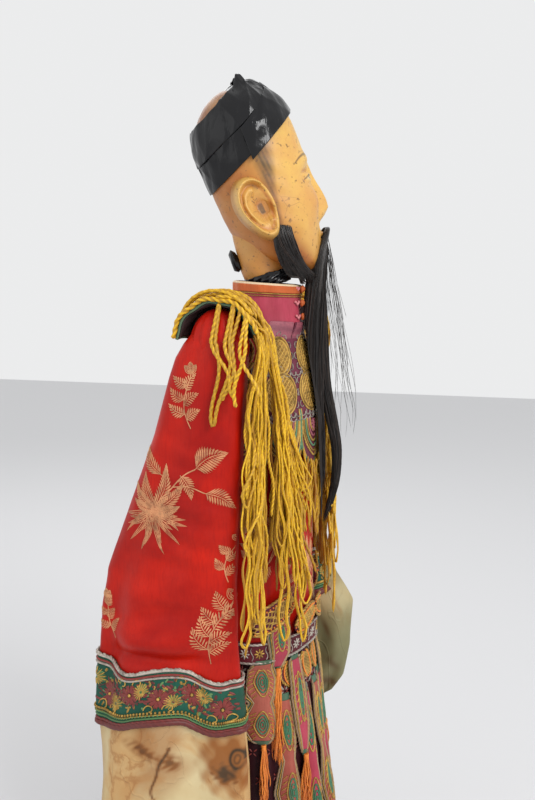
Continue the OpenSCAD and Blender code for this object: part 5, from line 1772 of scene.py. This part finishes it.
def cuff_work(band, faces, ys, side, lift, bead_v=0.24):
    """Braids, beads, flowers and border of a green cuff. v runs from 0 at the hem to 1 at the top."""
    gilt, silver, maroon, floss = soups(4)
    u = np.linspace(0, 360, 240)
    for v, w, h, soup, tone in ((1.0, 1.7, 1.2, silver, 0.95), (0.93, 1.3, 0.9, maroon, 0.95),
                                (0.885, 1.4, 1.0, silver, 0.7),
                                (0.13, 1.1, 0.8, floss, 0.25), (0.19, 0.9, 0.7, gilt, 0.7)):
        stitch(soup, band, columns(u, v), w, h, lift=lift, tone=tone)
    wave = 0.008 * np.sin(np.radians(u) * 40)
    cord(silver, band.at(u, 1.015 + wave, lift + 0.3), 1.05, 0.95, 1.3, 0.4)
    tubes(maroon, band.at(u, 0.02, lift), 1.9, 8, tone=[0.35], lobes=3, twist=0.5, depth=0.12)
    cord(maroon, band.at(u, 0.075, lift + 0.1), 1.0, 0.6, 0.8, 0.2)
    dense = np.linspace(0, 360, 128, endpoint=False)
    zig = bead_v + 0.03 * np.sin(np.radians(dense) * 64)
    beads(gilt, band.at(dense, zig, lift + 0.6), 0.78)
    beads(floss, band.at(dense + 1.4, zig - 0.055, lift + 0.5), 0.6, 0.5)
    for face in faces:
        r = np.random.default_rng(17)
        # wandering stem
        y = np.linspace(ys[0], ys[1], 90)
        for phase in (0, 2.4):
            stitch(maroon, face, columns(y, 0.57 + 0.10 * np.sin(y * 0.19 + phase)), 0.55, 0.4, lift=lift + 0.1,
                   tone=0.15)
        tall = face.at(np.array([30.0]), np.array([1.0]))[0] - face.at(np.array([30.0]), np.array([0.0]))[0]
        mm = 1 / max(np.linalg.norm(tall), 5)
        # small leaves and sprigs fill the ground
        for _ in range(int((ys[1] - ys[0]) * 2.6)):
            y0, v0, a0 = r.uniform(ys[0] + 2, ys[1] - 2), r.uniform(0.34, 0.84), r.uniform(0, TAU)
            s = np.linspace(0, r.uniform(1.8, 4.2), 6)
            pick, tone = ((maroon, 0.55), (gilt, 0.6), (floss, 0.5), (maroon, 0.1))[r.integers(0, 4)]
            bend = 0.5 * r.uniform(-1, 1) * s ** 1.5 / 3
            stitch(pick, face, columns(y0 + s * math.cos(a0) - bend * math.sin(a0),
                                         v0 + (s * math.sin(a0) + bend * math.cos(a0)) * mm),
                   r.uniform(0.8, 1.7), 0.35, lift=lift + 0.05, tone=tone, taper=True)
        n = max(2, int((ys[1] - ys[0]) / 17))
        for k, y0 in enumerate(np.linspace(ys[0] + 9, ys[1] - 9, n)):
            v0 = 0.62 if k % 2 else 0.50
            # maroon daisy
            for a in range(0, 360, 36):
                for q in (-0.55, 0, 0.55):
                    line = ray(y0, v0, np.linspace(1.2, 6.3, 8), math.radians(a + q * 16), tall=mm)
                    stitch(maroon, face, line, 1.15, 0.5, lift=lift + 0.15, tone=0.75, taper=True)
            beads(gilt, face.at(np.array([y0]), np.array([v0]), lift + 0.6), 1.0, 0.9)
            # gold fan flower beside it
            y1, v1 = y0 + 10.5, (0.42 if k % 2 else 0.66)
            for a in range(-80, 261, 20):
                length = 5.4 if a < 200 else 3.4
                b = math.radians(a)
                s = np.linspace(0.6, length, 7)
                stitch(gilt, face, ray(y1, v1, s, b, tall=mm), 0.75, 0.55, lift=lift + 0.2, tone=0.85, taper=True)
                stitch(floss, face, ray(y1, v1, s - 0.4, b + 0.17, tall=mm), 0.75, 0.4, lift=lift + 0.1, tone=0.35,
                       taper=True)
            # gilt scrolls and maroon leaves
            for s0 in (-1, 1):
                a = np.linspace(0, 4.6, 26)
                rad = 3.4 * (1 - a / 7)
                c = (y0 + 5.2 * s0, v0 + 0.2 * (1 if k % 2 else -1))
                stitch(gilt, face, np.stack([c[0] + rad * np.cos(a * s0), c[1] + rad * np.sin(a) * mm], 1), 0.7, 0.6,
                       lift=lift + 0.2, tone=0.9)
                for j in range(4):
                    a0 = math.radians(r.uniform(-70, 70))
                    leaf = ray(y0 + s0 * (4.5 + 2.6 * j), 0.58 + r.uniform(-0.22, 0.2), np.linspace(0, 3.8, 6), a0,
                               tall=mm)
                    stitch(maroon, face, leaf, 1.5, 0.45, lift=lift + 0.12, tone=0.6, taper=True)
    return [put(soup, f"cuff_{side}_{key}", mat, "forearm_" + side, "green_cuff") for soup, key, mat in (
        (gilt, "gilt", "gold"), (silver, "silver_braid", "silver"), (maroon, "maroon_work", "maroon_thread"),
        (floss, "green_floss", "cuff_green"))]


MAT["cuff_green"] = silk_thread("cuff_green_thread", (0.20, 0.34, 0.10), (0.04, 0.13, 0.05))


def cuff_face(band, inner=False, front=-5.0, back=86.0):
    middle, half = (front + back) / 2, (back - front) / 2

    def where(y, v):
        a = np.degrees(np.arccos(np.clip((middle - y) / half, -0.995, 0.995)))
        return band.where(360 - a if inner else a, v)
    return Cloth(where, flip=not inner)


cuff_r_pieces = cuff_work(cuff_r_band, [cuff_face(cuff_r_band), cuff_face(cuff_r_band, True)], (-6, 84), "right", 1.1)
left_band = Cloth(lambda u, t: left_cloth.where(u, 183 - 31 * t))
cuff_l_pieces = cuff_work(left_band, [Cloth(lambda y, t: left_band.where(90 + y * 2.4, t)),
                                      Cloth(lambda y, t: left_band.where(270 + y * 2.4, t))],
                          (-22, 22), "left", 1.1)

# peonies on the red jacket
peony = Soup()
for u0, v0, mirror in ((-30, 282, 1), (30, 282, -1), (-92, 276, 1), (92, 276, -1), (-62, 300, 1), (62, 300, -1),
                       (0, 258, 1), (-119, 300, 1)):
    size = 0.92 if abs(u0) in (30, 92) else 0.6
    chrysanthemum(peony, torso, (u0, v0), size, 21, mirror)
    brocade_leaf(peony, torso, (u0 + mirror * 9, v0 - 16), mirror * 60, 15 * size, 9 * size, 8)
    brocade_leaf(peony, torso, (u0 - mirror * 8, v0 - 20), -mirror * 150, 16 * size, 10 * size, 8)
    brocade_spray(peony, torso, (u0 + mirror * 3, v0 - 58 * size), 30 * size, 8 * mirror, 25, 6)
peony_obj = put(peony, "jacket_peonies", "pale_gold", "torso", "red_silk")

# ---------------------------------------------------------------- belt, pendants, streamers

# the skirt panels turn near black: partly the skirt's own dark silk, partly painted shade in the gaps between the
# streamers
MAT["night"] = satin("black_maroon_silk_and_shade", (0.050, 0.008, 0.012), (0.018, 0.004, 0.006), (0.03, 0.012, 0.01), 0.4, 0.5)
for made in (skirt_front_obj, skirt_back_obj):
    made.data.materials[0] = MAT["night"]


def skirt_face_where(x, z):
    return skirt_where(np.degrees(np.arcsin(np.clip(x / (skirt_col(z, 2) - 1.5), -0.985, 0.985))), z)


def front_where(x, z):
    """The dressed front by (x, height): skirt below the belt, jacket above it."""
    on_jacket = torso_where(BODY_R * np.arcsin(np.clip(x / torso_col(z, 2), -0.97, 0.97)), z)
    share = np.clip((z - 200) / 8, 0, 1)[..., None]
    return skirt_face_where(x, z) * (1 - share) + on_jacket * share


front_face = Cloth(front_where)

# outline of a pendant: [share of the length, share of the half width]
LEAF_OUTLINES = {
    "leaf": [[0, 0.5], [0.1, 0.8], [0.4, 1.0], [0.7, 0.82], [0.9, 0.4], [1, 0.05]],
    "gourd": [[0, 0.5], [0.08, 0.66], [0.26, 1.0], [0.42, 0.72], [0.5, 0.5], [0.6, 0.7], [0.76, 1.0],
              [0.92, 0.62], [1, 0.06]],
}


def pendant(name, x0, top, drop, half, shape, centre, lift, seed, nodes=()):
    """A padded silk streamer: sage edge, tan and gold borders, coloured middle and a green spindle."""
    outline = np.array(LEAF_OUTLINES[shape])
    r = np.random.default_rng(seed)
    phase = r.uniform(0, 6)

    def where(s, t):
        wide = half * np.interp(t, outline[:, 0], outline[:, 1])
        x, z = x0 + s * wide, top - drop * t
        p = front_face.where(x, z)
        n = front_face.normal(x * 0 + x0, z)
        off = lift + 0.9 * np.sin(t * 5 + phase) * t - 0.7 * s * s + 1.1 * s * np.sin(t * 3 + phase) * t
        return p + n * off[..., None]
    cloth = Cloth(where, flip=True)
    s, t = np.linspace(-1, 1, 22), np.linspace(0, 1, 90)
    body = shell(name, cloth, s, t, 1.2, MAT["sage"])
    finish_piece(body, "torso", "salmon_silk", *nodes)
    middle = Cloth(lambda a, b: where(a * 0.66, 0.05 + b * 0.88), flip=True)
    panel = shell(name + "_silk", middle, s, t, 0.5, MAT[centre], lift=0.45)
    finish_piece(panel, "torso", "pink_silk")
    gilt, tan, green = soups(3)
    tt = np.linspace(0.02, 0.975, 70)
    for side in (-1, 1):
        cord(tan, cloth.at(side * 0.97, tt), 0.85, 0.6, 1.1, 0.25)
        stitch(gilt, cloth, columns(side * 0.80, 0.03 + tt * 0.93), 0.8, 0.6, lift=0.25, tone=0.85)
        stitch(tan, cloth, columns(side * 0.70, 0.04 + tt * 0.91), 0.9, 0.6, lift=0.35, tone=0.9)
    for c, h in ((0.27, 0.15), (0.74, 0.15)) if shape == "gourd" else ((0.42, 0.24),):
        a = np.linspace(0, TAU, 40)
        for q, soup in ((1.0, gilt), (0.72, green), (0.45, green), (0.2, green)):
            stitch(soup, cloth, columns(0.34 * q * np.sin(a), c + h * q * np.cos(a)), 0.95, 0.5, lift=0.6, tone=0.75)
        for k in range(7):
            b = c - h * 0.9 + h * 1.8 * k / 6
            for side in (-1, 1):
                line = columns(side * np.linspace(0.36, 0.58, 8), b + 0.035 * np.linspace(0, 1, 8))
                stitch(gilt, cloth, line, 0.6, 0.45, lift=0.6, tone=0.9)
    pieces = [body, panel]
    for soup, key, mat in ((gilt, "gilt", "gold"), (tan, "border", "tan_thread"), (green, "spindle", "green_thread")):
        pieces.append(finish_piece(soup.build(f"{name}_{key}", MAT[mat]), "torso", "salmon_silk"))
    return pieces, cloth.at(np.array([0.0]), np.array([0.99]), 0.4)[0]


def tassel(soup, top, length, count, seed, width=3.0, floor=71.0):
    """Loose floss threads from a bound head, longest in the middle."""
    r = np.random.default_rng(seed)
    t = np.linspace(0, 1, 22)
    paths = []
    for _ in range(count):
        a, far = r.uniform(0, TAU), math.sqrt(r.uniform(0, 1))
        run = length * r.uniform(0.62, 1.0)
        z = np.maximum(top[2] - run * t, floor - 2.5 * r.uniform(0, 1))
        spread = far * (0.25 + 0.75 * np.clip(t * 2.2, 0, 1)) * width
        x = top[0] + spread * math.cos(a) + 1.9 * np.sin(t * r.uniform(3, 9) + a) * t
        y = top[1] + spread * 0.6 * math.sin(a) + 1.1 * np.sin(t * r.uniform(3, 9) + 2 * a) * t
        front = front_face.at(x, z, 1.2)
        paths.append(np.stack([x, np.minimum(y, front[:, 1]), z], 1))
    tubes(soup, np.stack(paths), 0.36, 4, tone=r.uniform(0.2, 1, count))
    for k in range(5):
        a = np.linspace(0, TAU * 1.02, 22)
        ring = np.stack([top[0] + 1.25 * np.cos(a), top[1] + 1.1 * np.sin(a), top[2] - 1.0 - 0.8 * k + a * 0.1], 1)
        tubes(soup, ring, 0.5, 6, tone=[0.9])


MAT["tan_thread"] = silk_thread("tan_thread", (0.40, 0.27, 0.15), (0.15, 0.085, 0.045))
streamer_sheets, tassel_soup = [], Soup()
STREAMERS = [("a", -30, 84, "salmon"), ("b", -15, 100, "pink"), ("c", 0, 92, "salmon"), ("d", 15, 102, "pink"),
             ("e", 30, 88, "salmon")]
for k, (key, x0, drop, centre) in enumerate(STREAMERS):
    pieces, tip = pendant("streamer_" + key, x0, 181, drop, 6.0, "gourd", centre, 2.6, 50 + k,
                          ("streamers",) if k == 0 else ())
    streamer_sheets.append((pieces, drop))
    tassel(tassel_soup, tip + [0, -0.6, 2], 26, 46, 60 + k, 3.0)
for k, (x0, top, drop, half, shape, centre, long) in enumerate((
        (-33, 234, 37, 7.0, "leaf", "pink", 64), (33, 234, 37, 7.0, "leaf", "pink", 64),
        (-39.5, 207, 56, 7.0, "gourd", "salmon", 44), (39.5, 207, 56, 7.0, "gourd", "salmon", 44),
        (-22, 204, 66, 6.2, "leaf", "pink", 40), (22, 204, 66, 6.2, "leaf", "pink", 40))):
    pieces, tip = pendant(f"pendant_{k}", x0, top, drop, half, shape, centre, 4.4 if k > 1 else 3.4, 80 + k)
    streamer_sheets.append((pieces, drop))
    tassel(tassel_soup, tip + [0, -0.5, 1], long, 44, 90 + k, 4.4)
put(tassel_soup, "orange_tassels", "orange", "torso", "orange_thread", "tassels")


def embroidered_lobe(name, x0, z0, long, wide, angle, lift, nodes=()):
    """An oval gold panel with a beaded edge."""
    c, s_a = math.cos(math.radians(angle)), math.sin(math.radians(angle))

    def where(s, t):
        along, across = s * long / 2, t * wide / 2 * np.sqrt(np.clip(1 - s * s * 0.96, 0, 1))
        x, z = x0 + along * c - across * s_a, z0 + along * s_a + across * c
        p = front_face.where(x, z)
        return p + front_face.normal(x, z) * lift
    cloth = Cloth(where)
    body = shell(name, cloth, np.linspace(-1, 1, 40), np.linspace(-1, 1, 14), 1.4, MAT["plum"])
    finish_piece(body, "torso", "gold_embroidery", *nodes)
    gilt, floss = soups(2)
    s = np.linspace(-0.985, 0.985, 60)
    for side in (-1, 1):
        cord(gilt, cloth.at(s, side, 0.1), 1.0, 0.9, 1.2, 0.3)
        beads(floss, cloth.at(s[::3], side * 0.72, 0.5), 0.6, 0.8)
    for q in np.linspace(-0.5, 0.5, 7):
        stitch(gilt, cloth, columns(s * 0.9, s * 0 + q + 0.12 * np.sin(s * 22 + q * 6)), 0.95, 0.6, lift=0.15,
               tone=0.5 + 0.4 * abs(math.sin(q * 9)))
    put(gilt, name + "_gilt", "gold", "torso", "gold_embroidery")
    put(floss, name + "_beads", "orange", "torso", "gold_embroidery")


for k, x0 in enumerate((-24, -8, 8, 24)):
    embroidered_lobe(f"belt_lobe_{k}", x0, 192, 16, 14, 90, 1.6, ("belt_lobes",) if k == 0 else ())
for k, (x0, turn) in enumerate(((-36, 40), (36, -40), (-12, 20), (12, -20))):
    embroidered_lobe(f"hem_lobe_{k}", x0, 233 if abs(x0) > 20 else 224, 30 if abs(x0) > 20 else 24, 14, turn, 4.2)


def make_belt():
    us = np.linspace(-AROUND / 2, AROUND / 2, 240, endpoint=False)
    band = shell("belt_brocade", torso, us, np.linspace(203.5, 216.5, 14), 2.6, MAT["maroon"], wrap=True, lift=2.4)
    finish_piece(band, "torso", "maroon_brocade", "waist_belt")
    silver, gilt = soups(2)
    u = np.append(us, us[0] + AROUND)
    for v in (204.3, 215.7):
        cord(silver, torso.at(u, v, 2.5), 0.85, 0.85, 1.1, 0.3)
    for k, u0 in enumerate(np.linspace(-AROUND / 2, AROUND / 2, 26, endpoint=False)):
        for a in range(0, 360, 45):
            line = ray(u0, 210, np.linspace(0.5, 3.3, 6), math.radians(a))
            stitch(silver if k % 2 else gilt, torso, line, 0.9, 0.5, lift=2.5, tone=0.85, taper=True)
        stitch(silver, torso, columns(u0 + 4.6 + 0.8 * np.sin(np.linspace(0, 6, 12)), np.linspace(206, 214, 12)),
               0.6, 0.45, lift=2.5, tone=0.6)
    put(silver, "belt_silver", "silver", "torso", "maroon_brocade")
    put(gilt, "belt_gilt", "gold", "torso", "maroon_brocade")
    # silver and maroon flowers woven into the top of the skirt, and a lattice near its hem
    woven, dark = soups(2)
    r = np.random.default_rng(33)
    for deg in np.arange(-178, 180, 13.0):
        for j, z in enumerate((196, 182)):
            d0 = deg + (6.5 if j else 0)
            for a in range(0, 360, 40):
                line = ray(d0, z, np.linspace(0.8, 5.2, 6), math.radians(a + 10 * j), 0.72)
                stitch(woven if a % 80 else dark, skirt, line, 1.25, 0.4, lift=0.9, tone=r.uniform(0.4, 0.95),
                       taper=True)
    for deg in range(-180, 180, 12):
        for j in range(5):
            for a in (45, 135, 225, 315):
                line = ray(deg + (6 if j % 2 else 0), 92 + 18 * j, np.linspace(0.6, 3.2, 5), math.radians(a), 0.9)
                stitch(dark, skirt, line, 0.9, 0.35, lift=0.9, tone=0.8, taper=True)
    put(woven, "skirt_silver_flowers", "silver", "torso", "maroon_brocade")
    put(dark, "skirt_maroon_flowers", "maroon_thread", "torso", "maroon_brocade")
    return band


make_belt()

# ---------------------------------------------------------------- wood, pins and rods


def lathe(name, profile, material, centre=(0, 0), sides=96):
    """A turned solid from (radius, height) points."""
    a = np.linspace(0, TAU, sides, endpoint=False)
    p = np.array(profile, float)
    r, z = p[:, :1], p[:, 1:]
    points = np.stack([centre[0] + r * np.cos(a), centre[1] + r * np.sin(a), z + 0 * a], -1)
    return Soup().add(points, grid_quads(len(p), sides, True)).build(name, material)


ROD_RADIUS = 5.5


def make_rod():
    low, high = node_box("main_rod")
    r = high[0]
    p = [(0.01, 0), (r - 1.2, 0), (r - 0.35, 0.35), (r, 1.2)]
    for z in (9, 12.5, 66, 69.5):
        p += [(r, z - 0.7), (r - 0.35, z - 0.35), (r - 0.45, z), (r - 0.35, z + 0.35), (r, z + 0.7)]
    neck = ROD_RADIUS
    p += [(r, 74.2), (r - 0.4, 75.0), (neck + 0.8, 76.2), (neck, 78), (neck, high[2] - 1.0),
          (neck - 0.5, high[2] - 0.2), (neck - 1.2, high[2]), (0.01, high[2])]
    finish_piece(lathe("rod_turned", p, MAT["wood"]), "rod", "turned_wood", "main_rod")


def make_grip(side):
    low, high = node_box("rod_grip_" + side)
    c = (low + high) / 2
    z0, z1 = low[2], high[2]
    p = [(0.01, z0), (2.8, z0), (3.6, z0 + 0.4), (4.0, z0 + 1.4)]
    for k in range(5):
        z = z0 + 8 + 6.5 * k
        p += [(4.0, z - 0.6), (3.8, z), (4.0, z + 0.6)]
    p += [(4.0, z1 - 3), (3.7, z1 - 1.2), (3.0, z1 - 0.2), (1.7, z1)]
    obj = lathe("grip_turned_" + side, p, MAT["grip"], (c[0], c[1]), 64)
    finish_piece(obj, "arm_rod_" + side, "grip_wood", "rod_grip_" + side)


def make_fingers(side, wrist, pivot):
    """Four curled fingers and a thumb carved over the fist's block."""
    down = unit(np.array(pivot, float) - np.array(wrist, float))
    ahead = unit(np.array([0.0, down[2], -down[1]]))
    across = np.array([-1.0 if side == "right" else 1.0, 0, 0])
    wrist = np.array(wrist, float)
    soup = Soup()
    for k in range(4):
        f = -4.0 + 3.0 * k
        long = (0.9, 1.0, 0.96, 0.82)[k]
        path = [(3.2, f, 5.5), (4.7, f, 8.0), (5.0, f, 10.5 + long), (4.2, f, 13.2 + long), (1.6, f, 14.3 + long),
                (-1.8, f, 13.9 + long), (-4.2, f, 12.2 + long), (-4.5, f, 9.2 + long)]
        line = smooth_line(path, 34)
        points = wrist + line[:, :1] * across + line[:, 1:2] * ahead + line[:, 2:] * down
        radius = 1.62 + 0.16 * np.cos(np.linspace(0, 3, 34) * TAU)
        tubes(soup, points, radius[None], 16, tone=[0.6])
    path = [(-2.6, 4.2, 4.5), (-4.2, 5.4, 7.0), (-5.4, 3.6, 9.0), (-5.9, 0.8, 9.8), (-5.6, -1.6, 9.6)]
    line = smooth_line(path, 28)
    points = wrist + line[:, :1] * across + line[:, 1:2] * ahead + line[:, 2:] * down
    tubes(soup, points, 1.75, 16, tone=[0.7])
    put(soup, "fingers_" + side, "hand", "hand_" + side, "painted_skin")


def plain_paint(name, light, dark, rough=0.5):
    s = Shade(name, light, rough)
    base = s.mix(light, dark, s.ramp(s.noise(90, 5, 0.65), (0.4, 0.0), (0.8, 0.9)))
    s.paint(s.mix(base, (0.09, 0.045, 0.02), s.ramp(s.noise(520, 3), (0.66, 0.0), (0.72, 0.8))))
    s.bump(s.noise(300, 4), 0.25, 0.25)
    return s.mat


MAT["hand"] = plain_paint("painted_hand", (0.66, 0.34, 0.10), (0.40, 0.15, 0.04))
MAT["grip"] = wood("grip_wood", (0.44, 0.26, 0.12), (0.22, 0.11, 0.05))
MAT["arm_wood"] = wood("arm_wood", (0.52, 0.37, 0.21), (0.33, 0.20, 0.10), 0.6)
make_rod()
for side in ("right", "left"):
    make_grip(side)
    wrist = (node_box("wrist_pin_" + side)[0] + node_box("wrist_pin_" + side)[1]) / 2
    rod_low, rod_high = node_box("arm_rod_" + side)
    pivot = np.array([wrist[0], (rod_low[1] + rod_high[1]) / 2, rod_high[2] - 3])
    make_fingers(side, wrist, pivot)

PLAIN = {
    "wood": ["stop_collar", "torso_block", "shoulder_board"], "steel": ["stop_pin", "head_pin", "shoulder_pins"],
    "leather": ["bearing_washer"], "brass": ["retaining_ring", "shoulder_peg_right", "shoulder_peg_left"],
    "arm_wood": [n + s for n in ("shoulder_knuckle", "upper_arm", "forearm") for s in ("_right", "_left")],
    "hand": ["hand_right", "hand_left"], "iron": ["arm_rod_right", "arm_rod_left"],
}
PLAIN["steel"] += [n + s for n in ("elbow_pin", "wrist_pin") for s in ("_right", "_left")]
for key, names in PLAIN.items():
    for name in names:
        obj = bpy.data.objects[name]
        obj.data.materials.clear()
        obj.data.materials.append(MAT[key])
        for polygon in obj.data.polygons:
            polygon.use_smooth = True
        obj.data.set_sharp_from_angle(angle=math.radians(32))


def make_sleeve_head(side):
    """The gathered red head of the sleeve, under the shoulder piece."""
    s = -1 if side == "right" else 1
    a, b = np.meshgrid(np.linspace(0, TAU, 110, endpoint=False), np.linspace(0.0, 1, 34))
    rise = np.radians(-28 + 112 * b)
    gather = 1 + 0.035 * np.sin(a * 16 + 2 * b) * np.clip(1.1 - b, 0, 1) + 0.03 * np.sin(a * 5 + 1)
    rx, ry, rz = 12.6, 16.5, 20.0
    x = s * ARM_X + rx * np.cos(rise) * np.sin(a) * gather
    y = 6.5 - ry * np.cos(rise) * np.cos(a) * gather
    z = 395.5 + rz * np.sin(rise) + 0 * a
    points = np.stack([x, y, z], -1)
    centre = np.array([s * ARM_X, 6.5, 395.5])
    inner = centre + (points - centre) * 0.955
    n = points.shape[0] * points.shape[1]
    quads = grid_quads(34, 110, True)
    k = np.arange(110)
    rim = columns(k, k + n, (k + 1) % 110 + n, (k + 1) % 110)
    cap = np.concatenate([quads, quads[:, ::-1] + n, rim])
    head = Soup().add(np.concatenate([points.reshape(-1, 3), inner.reshape(-1, 3)]), cap)
    return put(head, "sleeve_head_" + side, "red", "upper_arm_" + side, "red_silk")


heads = [make_sleeve_head("right"), make_sleeve_head("left")]


# ---------------------------------------------------------------- flat sizes of the cloth pieces, worked out and not kept


def flat_size(obj, length):
    area = sum(p.area for p in obj.data.polygons) / 2
    return (area / (length * MM), length * MM)


def declare(obj, length, pieces=()):
    flat_size(obj, length)
    list(pieces)


declare(sleeve_r_obj, 197, [brocade_right_obj, brocade_top_obj, brocade_inner_obj])
declare(cuff_r_obj, 29, cuff_r_pieces)
declare(water_r_obj, 92)
declare(sleeve_l_obj, 162, [brocade_left_obj])
declare(cuff_l_obj, 32, cuff_l_pieces)
declare(water_l_obj, 97)
declare(jacket_obj, 202, [peony_obj])
declare(skirt_front_obj, 145)
declare(skirt_back_obj, 150, [skirt_hem_obj])
for panel, (middle, bottom, half) in zip(cloud_panels, PETALS):
    threads = cloud_threads + [yoke_fringe_obj] if panel is cloud_panels[0] else []
    declare(panel, PETAL_TOP - bottom, threads)
for body, edge in shoulder_silks:
    declare(body, 53, [edge])
for made, side in zip(heads, ("right", "left")):
    declare(made, 34)
for pieces, drop in streamer_sheets:
    declare(pieces[0], drop, pieces[1:])
